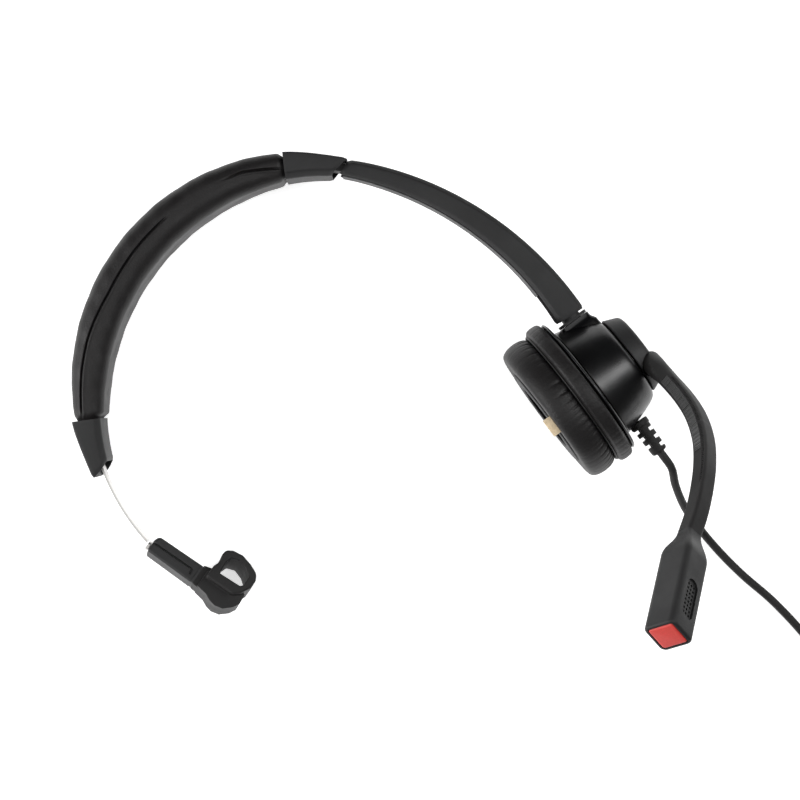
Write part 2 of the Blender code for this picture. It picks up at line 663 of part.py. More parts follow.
def make_microphone(body):
    """The hollow head: shell, red end piece, capsule, foam and a grille plate over the sound holes."""
    length = (Vector(MIC_END) - Vector(MIC_START)).length
    loops = []
    for step in range(7):
        share = step / 6
        side = blend(BOOM_SIDE, MIC_SIDE, (1 - math.cos(math.pi * share)) / 2)
        roll = blend(BOOM_ROLL - MIC_ROLL, 0.0, share)
        along = blend(0.4, MIC_NECK, share)
        loops.append([mic_place(along, a, b) for a, b in boom_section(side, 0.0, roll)])
    loops.append([mic_place(length, a, b) for a, b in boom_section(MIC_SIDE, 0.0, 0.0)])
    shell = body.piece("mic_shell", loft(loops), MATTE)
    half = MIC_SIDE / 2
    inside = half - 1.2
    cut(shell, body, mic_box((MIC_NECK + 2.0, length + 5.0), (-inside, inside), (-inside, inside)))
    middle = length - 14.2
    cut(shell, body, mic_box((middle - 8.3, middle + 8.3), (0.0, half + 3.0), (-2.7, 2.7)))
    tip = inside - FIT
    body.piece("mic_tip", mic_box((length - 2.2, length + 0.2), (-tip, tip), (-tip, tip)), RED)
    plate = mic_box((middle - 8.0, middle + 8.0), (half - 1.6, half - 0.7), (-2.4, 2.4))
    grille = body.piece("mic_grille", plate, MATTE)
    for row in range(7):
        for column in range(3):
            along = middle + 2.0 * (row - 3) - 0.45
            aside = (column - 1) * 1.5
            cut(grille, body, mic_box((along, along + 0.9), (half - 3, half + 1), (aside - 0.4, aside + 0.4)))
    body.piece("mic_foam", mic_box((middle - 7.8, middle + 7.8), (half - 2.9, half - 1.9), (-3.8, 3.8)), FOAM)
    can = []
    for across in (-3.4, half - 3.3):
        turns = [step * math.tau / 20 for step in range(20)]
        can.append([mic_place(middle + 3.2 * math.cos(t), across, 3.2 * math.sin(t)) for t in turns])
    body.piece("mic_capsule", loft(can), STEEL)


# Temple pad ------------------------------------------------------------------------------------

def temple_frame(along, inward, depth=0.0):
    """A point of the temple pad before it swivels: along its axis, in towards the head, and in depth."""
    across = Vector((-TEMPLE_AXIS.y, TEMPLE_AXIS.x, 0.0))
    return TEMPLE_AXIS * along + across * inward + Vector((0, 0, depth))


def temple_prism(outline, low, high):
    """An (along, inward) outline between two depths."""
    return loft([[temple_frame(a, n, z) for a, n in outline] for z in (low, high)])


def make_temple_carrier(body):
    """The hard block on the end of the strip, bored for the swivel pin, with a step cut in its edges."""
    outline = [(0.0, CARRIER_OUTER), (CARRIER_LENGTH, CARRIER_OUTER - 0.6),
               (CARRIER_LENGTH, CARRIER_INNER), (1.0, CARRIER_INNER), (0.0, 2.0)]
    block_mesh = temple_prism(outline, -STEM_HALF_DEPTH, STEM_HALF_DEPTH)
    carrier = bevel(body.piece("temple_carrier", block_mesh, MATTE, local=True), 0.7)
    across = temple_frame(0, 1)
    bore = [[temple_frame(a, 0) + across * ((SWIVEL_PIN_RADIUS + 0.2) * math.cos(t * math.tau / 20))
             + Vector((0, 0, (SWIVEL_PIN_RADIUS + 0.2) * math.sin(t * math.tau / 20))) for t in range(20)]
            for a in (-2.0, 10.0)]
    cut(carrier, body, loft(bore), local=True)
    step = [(-1.0, 0.7), (18.0, 0.7), (18.0, -1.2), (18.7, -1.2), (18.7, 1.3), (-1.0, 1.3)]
    for side in (-1, 1):
        ends = sorted((side * (STEM_HALF_DEPTH - 0.7), side * (STEM_HALF_DEPTH + 1.0)))
        cut(carrier, body, temple_prism(step, *ends), local=True)


def make_temple_pad(body):
    """The rubber pad: a stem, a heel outside, and a hollow loop whose curved side meets the head."""
    start = CARRIER_LENGTH + FIT
    loop = [(24.4, 0.7), (24.4, 5.6), (25.4, 8.2), (24.6, 11.1), (24.9, 13.3), (27.3, 14.8), (31.4, 15.3),
            (35.9, 14.1), (39.6, 12.4), (40.9, 10.0), (40.8, 6.5), (38.9, 2.9), (36.2, 0.7)]
    pad = bevel(body.piece("temple_pad", temple_prism(loop, -LOOP_HALF_DEPTH, LOOP_HALF_DEPTH), RUBBER,
                           local=True), 0.6)
    heel = [(23.6, -3.6), (27.9, -4.3), (30.5, -5.6), (33.0, -6.1), (36.3, -5.4), (39.3, -2.8), (40.7, -0.2),
            (40.4, 4.0), (37.0, 3.6), (23.6, 3.6)]
    cut(pad, body, temple_prism(heel, -HEEL_HALF_DEPTH, HEEL_HALF_DEPTH), "UNION", local=True)
    stem = [(start, CARRIER_OUTER - 0.6), (25.6, -3.9), (25.6, 5.9), (start, CARRIER_INNER + 0.4)]
    cut(pad, body, temple_prism(stem, -STEM_HALF_DEPTH, STEM_HALF_DEPTH), "UNION", local=True)
    window = [(27.8, 4.6), (27.5, 9.4), (28.4, 11.9), (31.7, 13.0), (35.3, 11.8), (37.9, 9.8), (38.0, 6.0),
              (37.0, 4.9)]
    cut(pad, body, temple_prism(window, -LOOP_HALF_DEPTH - 5.0, LOOP_HALF_DEPTH + 5.0), local=True)


def make_swivel_pin(body):
    """The pin riveted to the strip's end, on which the temple pad swivels."""
    across = temple_frame(0, 1)
    rings = []
    for along, radius in ((-1.4, 1.9), (-0.4, 1.9), (-0.4, SWIVEL_PIN_RADIUS), (9.4, SWIVEL_PIN_RADIUS)):
        rings.append([TEMPLE_TOP + temple_frame(along, 0) + across * (radius * math.cos(t * math.tau / 16))
                      + Vector((0, 0, radius * math.sin(t * math.tau / 16))) for t in range(16)])
    body.piece("swivel_pin", loft(rings), STEEL)


# Cord ------------------------------------------------------------------------------------------

def make_strain_relief(body):
    """A rubber sleeve whose flange sits inside the housing, with rings down to the cord."""
    profile = [(-17.6, 0), (-17.6, 3.2), (-18.8, 3.2), (-18.8, 2.3), (-23.6, 2.3), (-23.6, 3.5), (-25.3, 3.5)]
    for number in range(3):
        top = -25.3 - 3.4 * number
        radius = 3.5 - 0.15 * number
        profile += [(top, 2.3), (top - 1.6, 2.3), (top - 1.6, radius), (top - 3.4, radius)]
    profile += [(-35.5, 2.3), (-37.0, 2.2), (-37.0, 0)]
    body.piece("strain_relief", turned(profile, SMALL_FACETS, (CORD_EXIT_X, 0, 0), "Y"), RUBBER)


def tube(name, body, route, count):
    """A cord along a smooth curve through a route given in the table's frame."""
    points = smooth_route(route, count)
    curve = bpy.data.curves.new(name, "CURVE")
    curve.dimensions = "3D"
    curve.bevel_depth = CORD_RADIUS * MM
    curve.bevel_resolution = 2
    curve.use_fill_caps = True
    spline = curve.splines.new("POLY")
    spline.points.add(len(points) - 1)
    to_body = wearer_matrix().inverted()
    for point, place in zip(spline.points, points):
        point.co = (*(to_body @ (place * MM)), 1.0)
    curve.materials.append(material(*RUBBER))
    made = bpy.data.objects.new(name, curve)
    bpy.context.scene.collection.objects.link(made)
    made.parent = body.empty


def on_table(body, name, mesh_data, look):
    """A piece drawn in the table's frame, in millimetres."""
    bmesh.ops.transform(mesh_data, matrix=Matrix.Scale(1 / MM, 4) @ wearer_matrix().inverted()
                        @ Matrix.Scale(MM, 4), verts=mesh_data.verts)
    return body.piece(name, mesh_data, look)


def make_cord(body):
    start = wearer_matrix() @ (Vector((CORD_EXIT_X, -37.3, 0.0)) * MM) / MM
    onward = wearer_matrix() @ (Vector((CORD_EXIT_X, -40.0, 0.0)) * MM) / MM
    further = wearer_matrix() @ (Vector((CORD_EXIT_X - 0.2, -45.0, -1.0)) * MM) / MM
    tube("cord_tube", body, (start, onward, further, *CORD_ROUTE), CORD_POINTS)
    low, high = COIL_BASE, COIL_BASE + 2 * COIL_HALF_HEIGHT
    inner, outer = COIL_MEAN_RADIUS - COIL_HALF_WIDTH, COIL_MEAN_RADIUS + COIL_HALF_WIDTH
    edge = 3.0
    ring = [(low, inner + edge), (low, outer - edge), (low + edge, outer), (high - edge, outer),
            (high, outer - edge), (high, inner + edge), (high - edge, inner), (low + edge, inner)]
    on_table(body, "cord_coil", turned(ring, FACETS, COIL_PLACE, "Z"), RUBBER)
    tube("cord_tail", body, TAIL_ROUTE, 16)


def make_cord_tie(body):
    """The tie round the coil: a flat loop in the plane of the coil's axis."""
    loops = []
    for side in (-2.5, 2.5):
        for grow in ((FIT, FIT + 0.6) if side < 0 else (FIT + 0.6, FIT)):
            half_width, half_height = COIL_HALF_WIDTH + grow, COIL_HALF_HEIGHT + grow
            loops.append([COIL_PLACE + Vector((side, COIL_MEAN_RADIUS + y, COIL_BASE + COIL_HALF_HEIGHT + z))
                          for y, z in ((-half_width, -half_height), (half_width, -half_height),
                                       (half_width, half_height), (-half_width, half_height))])
    on_table(body, "cord_tie", loft(loops, closed_ring=True), RUBBER)


def plug_block(low, high):
    """A box in the plug's own directions: x across, y out of its mouth, z up."""
    return block(PLUG_PLACE + Vector(low), PLUG_PLACE + Vector(high))


def make_plug(body):
    """A USB plug: moulded body, metal shell and the tongue inside it."""
    wide, long, high = PLUG_SIZE
    on_table(body, "plug_body", plug_block((-wide / 2, 0, 0), (wide / 2, long, high)), RUBBER)
    relief = [(-PLUG_RELIEF, 0), (-PLUG_RELIEF, 2.3), (-FIT, 3.2), (-FIT, 0)]
    middle = PLUG_PLACE + Vector((0, 0, high / 2))
    on_table(body, "plug_relief", turned(relief, SMALL_FACETS, middle, "Y"), RUBBER)
    shell = on_table(body, "plug_shell", plug_block((-6.0, long + FIT, high / 2 - 2.25),
                                                    (6.0, long + 12.0, high / 2 + 2.25)), STEEL)
    mouth = plug_block((-5.6, long + 0.8, high / 2 - 1.9), (5.6, long + 15.0, high / 2 + 1.9))
    cutter = on_table(body, "plug_shell_mouth", mouth, MATTE)
    cutter.hide_render = True
    cutter.display_type = "WIRE"
    opening = shell.modifiers.new("mouth", "BOOLEAN")
    opening.solver = "EXACT"
    opening.object = cutter
    on_table(body, "plug_tongue", plug_block((-5.2, long + 1.1, high / 2 - 0.2),
                                             (5.2, long + 11.4, high / 2 + 1.5)), MATTE)


def main():
    clear_scene()
    cup = Body("ear_cup", None, (0, 0, 0))
    pivot = Body("pivot", cup, (PIVOT_X, NECK_TOP, 0))
    arm = Body("arm", pivot, (PIVOT_X, TILT_PIN_Y, 0))
    headband = Body("headband", arm, BAND_CENTRE)
    left_slider = Body("left_slider", headband, BAND_CENTRE)
    temple = Body("temple", left_slider, TEMPLE_TOP, Matrix.Rotation(TEMPLE_SWIVEL, 4, TEMPLE_AXIS * -1))
    boom = Body("boom", cup, (22.0, 0, 0))
    flex = smooth_route(BOOM_ROUTE, 41)[int(FLEX_SHARE * 40)]
    mic_boom = Body("mic_boom", boom, boom_place(*flex))

    make_housing(cup)
    make_baffle(cup)
    make_speaker(cup)
    make_cushion(cup)
    make_turret_bearing(cup)
    make_strain_relief(cup)
    make_cord(cup)
    make_cord_tie(cup)
    make_plug(cup)
    make_pivot_post(pivot)
    make_arm(arm)
    make_strip(arm, "strip_right", RIGHT_STRIP_START, RIGHT_STRIP_END)
    make_runner(arm, "runner_right", RIGHT_STRIP_END - 5.0)
    make_spring_band(headband)
    make_pad(headband)
    make_end_caps(headband)
    make_strip(left_slider, "strip_left", LEFT_STRIP_START, LEFT_STRIP_END)
    make_runner(left_slider, "runner_left", LEFT_STRIP_START + 1.0)
    make_swivel_pin(left_slider)
    make_temple_carrier(temple)
    make_temple_pad(temple)
    make_turret(boom)
    make_boom(boom, mic_boom)
    make_microphone(mic_boom)


main()
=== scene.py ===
"""Looks of a single-ear office headset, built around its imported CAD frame.

Shapes are drawn in the wearer's frame, in millimetres: +X leads out of the ear cup, +Y to the crown
and +Z to the front. The joints of the frame say where the wearer's frame lies in the world.
"""

import json
import math

import bmesh
import bpy
import numpy as np
from mathutils import Matrix, Vector


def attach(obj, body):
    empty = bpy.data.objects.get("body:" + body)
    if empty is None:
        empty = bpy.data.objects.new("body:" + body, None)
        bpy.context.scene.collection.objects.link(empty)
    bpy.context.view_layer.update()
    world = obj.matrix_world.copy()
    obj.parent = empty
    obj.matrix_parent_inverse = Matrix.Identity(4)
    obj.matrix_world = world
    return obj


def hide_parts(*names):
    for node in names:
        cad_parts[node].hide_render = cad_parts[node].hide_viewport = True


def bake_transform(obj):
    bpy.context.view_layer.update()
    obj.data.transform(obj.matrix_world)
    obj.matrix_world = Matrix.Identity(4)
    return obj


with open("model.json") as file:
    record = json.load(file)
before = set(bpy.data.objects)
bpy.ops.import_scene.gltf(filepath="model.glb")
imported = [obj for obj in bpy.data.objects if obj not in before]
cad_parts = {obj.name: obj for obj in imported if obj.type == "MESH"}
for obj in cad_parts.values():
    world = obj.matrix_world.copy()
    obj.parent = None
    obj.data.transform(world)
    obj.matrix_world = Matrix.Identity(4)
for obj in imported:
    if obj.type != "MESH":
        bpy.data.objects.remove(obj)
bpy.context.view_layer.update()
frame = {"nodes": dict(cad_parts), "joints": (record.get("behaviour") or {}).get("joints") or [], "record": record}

MM = 0.001
JOINTS = {joint["name"]: joint for joint in frame["joints"]}


def joint_axis(name):
    return Vector(JOINTS[name]["axis"]).normalized()


def joint_place(name):
    return Vector(JOINTS[name]["pos_m"])


def wearer_frame():
    """The wearer's frame in the world: X from the boom's axis, Y from the swivel's and Z from the tilt's."""
    x = -joint_axis("boom_rotate")
    z = joint_axis("cup_tilt")
    y = z.cross(x).normalized()
    turn = Matrix((x, y, z)).transposed().to_4x4()
    return Matrix.Translation(joint_place("boom_rotate") - x * TURRET_X * MM) @ turn


TURRET_X = 22.0
WEARER = wearer_frame()
FROM_WORLD = WEARER.inverted()
BAND_CENTRE = (FROM_WORLD @ joint_place("right_extension")) / MM
NORMAL = FROM_WORLD.to_3x3() @ joint_axis("boom_flex")
LEAN = math.asin(NORMAL.y)

# Headband and arm, in millimetres and degrees.
STRIP_RADIUS = 86.0
PAD_START, PAD_END, PAD_HALF_WIDTH = 60.3, 150.7, 15.5
ARM_START, ARM_TURN, ARM_STOP, ARM_RADIUS, ARM_END_SHARE = 45.2, 40.0, -4.2, 129.6, 0.99
ARM_SLANT = 1.5
# Ear cup.
PIVOT_X, NECK_TOP, CORD_X = 10.9, 23.2, 7.5
POST_HOLE, CORD_HOLE = 3.9, 2.5
# Boom and microphone, as (x, distance from the cup's axis).
BOOM_ROUTE = ((24.0, 11.6), (24.1, 20.0), (24.0, 28.3), (23.3, 45.1), (21.3, 60.0), (17.2, 74.2),
              (11.2, 86.7), (4.0, 97.8), (-3.0, 106.8), (-9.3, 113.5))
BOOM_SIDE, BOOM_ROOT_SIDE, BOOM_ROLL = 6.4, 8.4, math.radians(16.0)
MIC_START, MIC_END, MIC_SIDE, MIC_NECK = (-9.5, 113.7), (-37.0, 149.9), 12.4, 12.0
MIC_ROLL = math.radians(6.0)
RIB_PITCH = 1.0
# Cord, in the table's frame.
CORD_RADIUS, CORD_LENGTH = 1.6, 1.79
CORD_ROUTE = ((78.9, -90.6, 25.4), (78.6, -101.4, 14.0), (79.9, -114.0, 4.8), (81.3, -126.7, 1.6),
              (83.2, -139.1, 1.6), (86.2, -152.3, 1.6), (87.9, -164.1, 1.6), (88.9, -174.9, 1.6),
              (90.2, -183.7, 3.0))
COIL_PLACE, COIL_MEAN_RADIUS, COIL_BASE = Vector((113.6, -198.7, 0.0)), 19.0, 0.9
TAIL_ROUTE = ((118.6, -226.9, 3.0), (129.6, -232.7, 2.5), (142.6, -233.2, 3.0), (151.1, -227.7, 4.0),
              (153.6, -220.2, 4.3), (153.6, -218.1, 4.3))
PLUG_PLACE, PLUG_SIZE = Vector((153.6, -205.7, 0.0)), (16.5, 20.0, 8.6)

CAMERA_PLACE = Vector((-60.6, 39.0, 850.0))
CAMERA_LENS = 99.45
DARK_SIDE = (0.45, 0.60, 0.65)


# Materials -------------------------------------------------------------------------------------

def surface(name, colour, roughness, grain=900.0, relief=0.06, metallic=0.0, coat=0.0, wear=0.25,
            pattern="noise", stretch=(1.0, 1.0, 1.0), shine=0.5):
    """A procedural surface: grain in the bump, cloudy roughness and colour, and paler worn edges."""
    made = bpy.data.materials.new(name)
    made.use_nodes = True
    nodes, links = made.node_tree.nodes, made.node_tree.links
    shader = nodes["Principled BSDF"]
    shader.inputs["Metallic"].default_value = metallic
    shader.inputs["Coat Weight"].default_value = coat
    shader.inputs["Coat Roughness"].default_value = 0.2
    shader.inputs["Specular IOR Level"].default_value = shine
    coords = nodes.new("ShaderNodeTexCoord")
    scaled = nodes.new("ShaderNodeMapping")
    scaled.inputs["Scale"].default_value = stretch
    links.new(coords.outputs["Object"], scaled.inputs["Vector"])
    if pattern == "leather":
        fine = nodes.new("ShaderNodeTexVoronoi")
        fine.feature = "SMOOTH_F1"
        fine.inputs["Smoothness"].default_value = 0.35
        fine_out = fine.outputs["Distance"]
    else:
        fine = nodes.new("ShaderNodeTexNoise")
        fine.inputs["Detail"].default_value = 3.0
        fine_out = fine.outputs["Fac"]
    fine.inputs["Scale"].default_value = grain
    links.new(scaled.outputs["Vector"], fine.inputs["Vector"])
    cloud = nodes.new("ShaderNodeTexNoise")
    cloud.inputs["Scale"].default_value = 70.0
    cloud.inputs["Detail"].default_value = 4.0
    links.new(scaled.outputs["Vector"], cloud.inputs["Vector"])
    rough = nodes.new("ShaderNodeMapRange")
    rough.inputs["From Min"].default_value = 0.3
    rough.inputs["From Max"].default_value = 0.7
    rough.inputs["To Min"].default_value = roughness * 0.88
    rough.inputs["To Max"].default_value = min(roughness * 1.12, 1.0)
    links.new(cloud.outputs["Fac"], rough.inputs["Value"])
    links.new(rough.outputs["Result"], shader.inputs["Roughness"])
    tint = nodes.new("ShaderNodeMix")
    tint.data_type = "RGBA"
    tint.inputs["A"].default_value = (*[c * 0.85 for c in colour], 1.0)
    tint.inputs["B"].default_value = (*[min(c * 1.15, 1.0) for c in colour], 1.0)
    links.new(fine_out, tint.inputs["Factor"])
    edges = nodes.new("ShaderNodeMapRange")
    edges.inputs["From Min"].default_value = 0.53
    edges.inputs["From Max"].default_value = 0.62
    edges.inputs["To Max"].default_value = wear
    geometry = nodes.new("ShaderNodeNewGeometry")
    links.new(geometry.outputs["Pointiness"], edges.inputs["Value"])
    worn = nodes.new("ShaderNodeMix")
    worn.data_type = "RGBA"
    worn.inputs["B"].default_value = (*[min(c * 2.2 + 0.02, 1.0) for c in colour], 1.0)
    links.new(edges.outputs["Result"], worn.inputs["Factor"])
    links.new(tint.outputs["Result"], worn.inputs["A"])
    links.new(worn.outputs["Result"], shader.inputs["Base Color"])
    bump = nodes.new("ShaderNodeBump")
    bump.inputs["Strength"].default_value = relief
    bump.inputs["Distance"].default_value = 0.0004
    links.new(fine_out, bump.inputs["Height"])
    links.new(bump.outputs["Normal"], shader.inputs["Normal"])
    return made


LOOKS = {
    "matte_black": surface("moulded_grain", (0.011, 0.011, 0.0115), 0.56, 2600.0, 0.14, wear=0.35,
                           shine=0.42),
    "gloss_black": surface("satin_gloss", (0.004, 0.004, 0.0045), 0.30, 1800.0, 0.03, wear=0.1, shine=0.5),
    "black_rubber": surface("matte_rubber", (0.011, 0.0105, 0.0105), 0.60, 2300.0, 0.10, wear=0.35,
                            shine=0.33),
    "leatherette": surface("leather_grain", (0.0075, 0.0066, 0.0068), 0.52, 1500.0, 0.16, pattern="leather",
                           wear=0.15, shine=0.36),
    "spring_steel": surface("brushed_spring", (0.60, 0.585, 0.57), 0.34, 1800.0, 0.05, metallic=1.0, wear=0.0,
                            stretch=(1.0, 1.0, 0.15)),
    # A paler, glossier copy of the rubber for the boom's ribs: its lower roughness is real, its paler colour is a
    # painted highlight. pit_shade is near-black painted shade for the gaps between the ribs and for the pits.
    "rib_gloss_and_painted_highlight": surface("polished_rib_with_painted_highlight", (0.040, 0.040, 0.040), 0.40, 2000.0, 0.03, shine=0.5),
    "pit_shade": surface("pit_shade", (0.002, 0.002, 0.002), 0.9, 2000.0, 0.03, shine=0.0),
    "red_plastic": surface("red_insert", (0.66, 0.055, 0.045), 0.5, 1500.0, 0.08, wear=0.1),
    "cream_tape": surface("paper_tape", (0.66, 0.52, 0.34), 0.8, 1300.0, 0.2, wear=0.1),
    "black_foam": surface("open_foam", (0.008, 0.008, 0.008), 0.95, 1100.0, 0.9, pattern="leather", wear=0.0,
                          shine=0.2),
    "green_board": surface("solder_mask", (0.01, 0.12, 0.05), 0.35, 1200.0, 0.05, coat=0.4),
    "speaker_film": surface("thin_film", (0.45, 0.45, 0.40), 0.4, 1000.0, 0.04),
}


# Mesh helpers ----------------------------------------------------------------------------------

def blend(a, b, share):
    return a + (b - a) * share


def ease(low, high, value):
    """0 below low, 1 above high and smooth between. It takes numbers and arrays."""
    t = np.clip((value - low) / (high - low), 0.0, 1.0)
    return t * t * (3 - 2 * t)


def soften(outline, reach, steps=4):
    """A closed outline with each corner rounded by a curve that starts reach before it."""
    rounded = []
    count = len(outline)
    for i in range(count):
        before, corner, after = (Vector(outline[(i + k) % count]) for k in (-1, 0, 1))
        start = corner + (before - corner) * min(reach / (before - corner).length, 0.48)
        end = corner + (after - corner) * min(reach / (after - corner).length, 0.48)
        for step in range(steps + 1):
            t = step / steps
            rounded.append(tuple(start * (1 - t) ** 2 + corner * 2 * t * (1 - t) + end * t * t))
    return rounded


def mesh_piece(name, points, faces, look, body, stands_for=(), angle=38, table=False):
    """A piece from points in wearer millimetres, or in table millimetres, riding on a body."""
    data = bpy.data.meshes.new(name)
    place = Matrix.Scale(MM, 4) if table else WEARER @ Matrix.Scale(MM, 4)
    data.from_pydata([place @ Vector(point) for point in points], [], faces)
    return finish_piece(name, data, look, body, stands_for, angle)


def finish_piece(name, data, look, body, stands_for=(), angle=38):
    tidy = bmesh.new()
    tidy.from_mesh(data)
    bmesh.ops.recalc_face_normals(tidy, faces=tidy.faces)
    if tidy.calc_volume(signed=True) < 0:
        bmesh.ops.reverse_faces(tidy, faces=tidy.faces)
    tidy.to_mesh(data)
    tidy.free()
    data.shade_smooth()
    data.set_sharp_from_angle(angle=math.radians(angle))
    data.materials.clear()
    data.materials.append(LOOKS[look])
    made = bpy.data.objects.new(name, data)
    bpy.context.scene.collection.objects.link(made)
    if body:
        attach(made, body)
    if stands_for:
        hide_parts(*stands_for)
    return made


def disc(radius, y, count, middle):
    """Points round a circle at one height, about an axis along y."""
    return [(middle + radius * math.cos(t * math.tau / count), y, radius * math.sin(t * math.tau / count))
            for t in range(count)]


def skin(loops, ring=False, caps=True):
    """Points and faces over loops of equal length, joined in a ring or capped at both ends."""
    count = len(loops[0])
    points = [point for loop in loops for point in loop]
    faces = []
    rows = len(loops)
    for row in range(rows if ring else rows - 1):
        here, there = row * count, (row + 1) % rows * count
        for i in range(count):
            j = (i + 1) % count
            faces.append((here + i, here + j, there + j, there + i))
    if caps and not ring:
        faces.append(tuple(range(count)))
        faces.append(tuple(range((rows - 1) * count, rows * count)))
    return points, faces


def spun(profile, facets=144, place=(0, 0, 0), axis="X", shape=None):
    """A closed (along, radius) outline turned about an axis. shape(along, radius, turn) may move a point."""
    loops = []
    for step in range(facets):
        turn = step * math.tau / facets
        loop = []
        for along, radius in profile:
            if shape:
                along, radius = shape(along, radius, turn)
            around = (radius * math.cos(turn), radius * math.sin(turn))
            point = {"X": (along, *around), "Y": (around[1], along, around[0]), "Z": (*around, along)}[axis]
            loop.append(Vector(place) + Vector(point))
        loops.append(loop)
    return skin(loops, ring=True)


def applied(piece):
    """Bakes a piece's modifiers into its mesh."""
    graph = bpy.context.evaluated_depsgraph_get()
    data = bpy.data.meshes.new_from_object(piece.evaluated_get(graph))
    piece.modifiers.clear()
    piece.data = data
    return piece


def boolean(piece, points, faces, table=False):
    """Cuts a closed shape out of a piece."""
    data = bpy.data.meshes.new("cutter")
    place = Matrix.Scale(MM, 4) if table else WEARER @ Matrix.Scale(MM, 4)
    data.from_pydata([place @ Vector(point) for point in points], [], faces)
    tidy = bmesh.new()
    tidy.from_mesh(data)
    bmesh.ops.recalc_face_normals(tidy, faces=tidy.faces)
    tidy.to_mesh(data)
    tidy.free()
    cutter = bpy.data.objects.new("cutter", data)
    bpy.context.scene.collection.objects.link(cutter)
    made = piece.modifiers.new("cut", "BOOLEAN")
    made.operation = "DIFFERENCE"
    made.solver = "EXACT"
    made.object = cutter
    bpy.context.view_layer.update()
    applied(piece)
    bpy.data.objects.remove(cutter)
    return piece


def smooth_route(route, count):
    """Evenly spaced points of a Catmull-Rom curve through a route's points."""
    points = [Vector(point) for point in route]
    points = [2 * points[0] - points[1], *points, 2 * points[-1] - points[-2]]
    dense = []
    for a, b, c, d in zip(points, points[1:], points[2:], points[3:]):
        for step in range(12):
            t = step / 12
            dense.append(0.5 * (2 * b + (c - a) * t + (2 * a - 5 * b + 4 * c - d) * t * t
                                + (3 * b - a - 3 * c + d) * t ** 3))
    dense.append(points[-2])
    lengths = np.concatenate([[0.0], np.cumsum([(b - a).length for a, b in zip(dense, dense[1:])])])
    targets = np.linspace(0.0, lengths[-1], count)
    columns = [np.interp(targets, lengths, [point[k] for point in dense]) for k in range(len(dense[0]))]
    return [Vector(values) for values in zip(*columns)]


def on_band(angle, radius, z):
    turn = math.radians(angle)
    return BAND_CENTRE + Vector((radius * math.cos(turn), radius * math.sin(turn), z))


def boom_place(x, rho, normal=0.0):
    """A point of the boom's plane, and how far off that plane it is."""
    return Vector((x, -rho * math.cos(LEAN) + normal * math.sin(LEAN),
                   rho * math.sin(LEAN) + normal * math.cos(LEAN)))


def remeshed(name, node, look, body, voxel, rounds):
    """A softened copy of a CAD node: remeshed finely, then smoothed so that its edges are round."""
    made = finish_piece(name, frame["nodes"][node].data.copy(), look, body, (node,), 60)
    weld = made.modifiers.new("weld", "WELD")
    weld.merge_threshold = 1e-6
    remesh = made.modifiers.new("remesh", "REMESH")
    remesh.mode = "VOXEL"
    remesh.voxel_size = voxel * MM
    smooth = made.modifiers.new("smooth", "SMOOTH")
    smooth.factor = 0.5
    smooth.iterations = rounds
    bpy.context.view_layer.update()
    applied(made)
    made.data.shade_smooth()
    return made


# Camera, light and floor -----------------------------------------------------------------------

def make_world():
    """A pale room with a dark patch up beyond the crown, like a studio with a black flag there."""
    world = bpy.data.worlds.new("studio")
    world.use_nodes = True
    nodes, links = world.node_tree.nodes, world.node_tree.links
    coords = nodes.new("ShaderNodeTexCoord")
    facing = nodes.new("ShaderNodeVectorMath")
    facing.operation = "DOT_PRODUCT"
    facing.inputs[1].default_value = Vector(DARK_SIDE).normalized()
    links.new(coords.outputs["Generated"], facing.inputs[0])
    shade = nodes.new("ShaderNodeMapRange")
    shade.interpolation_type = "SMOOTHSTEP"
    shade.inputs["From Min"].default_value = 0.35
    shade.inputs["From Max"].default_value = 0.93
    shade.inputs["To Min"].default_value = 1.15
    shade.inputs["To Max"].default_value = 0.12
    links.new(facing.outputs["Value"], shade.inputs["Value"])
    links.new(shade.outputs["Result"], nodes["Background"].inputs["Strength"])
    bpy.context.scene.world = world


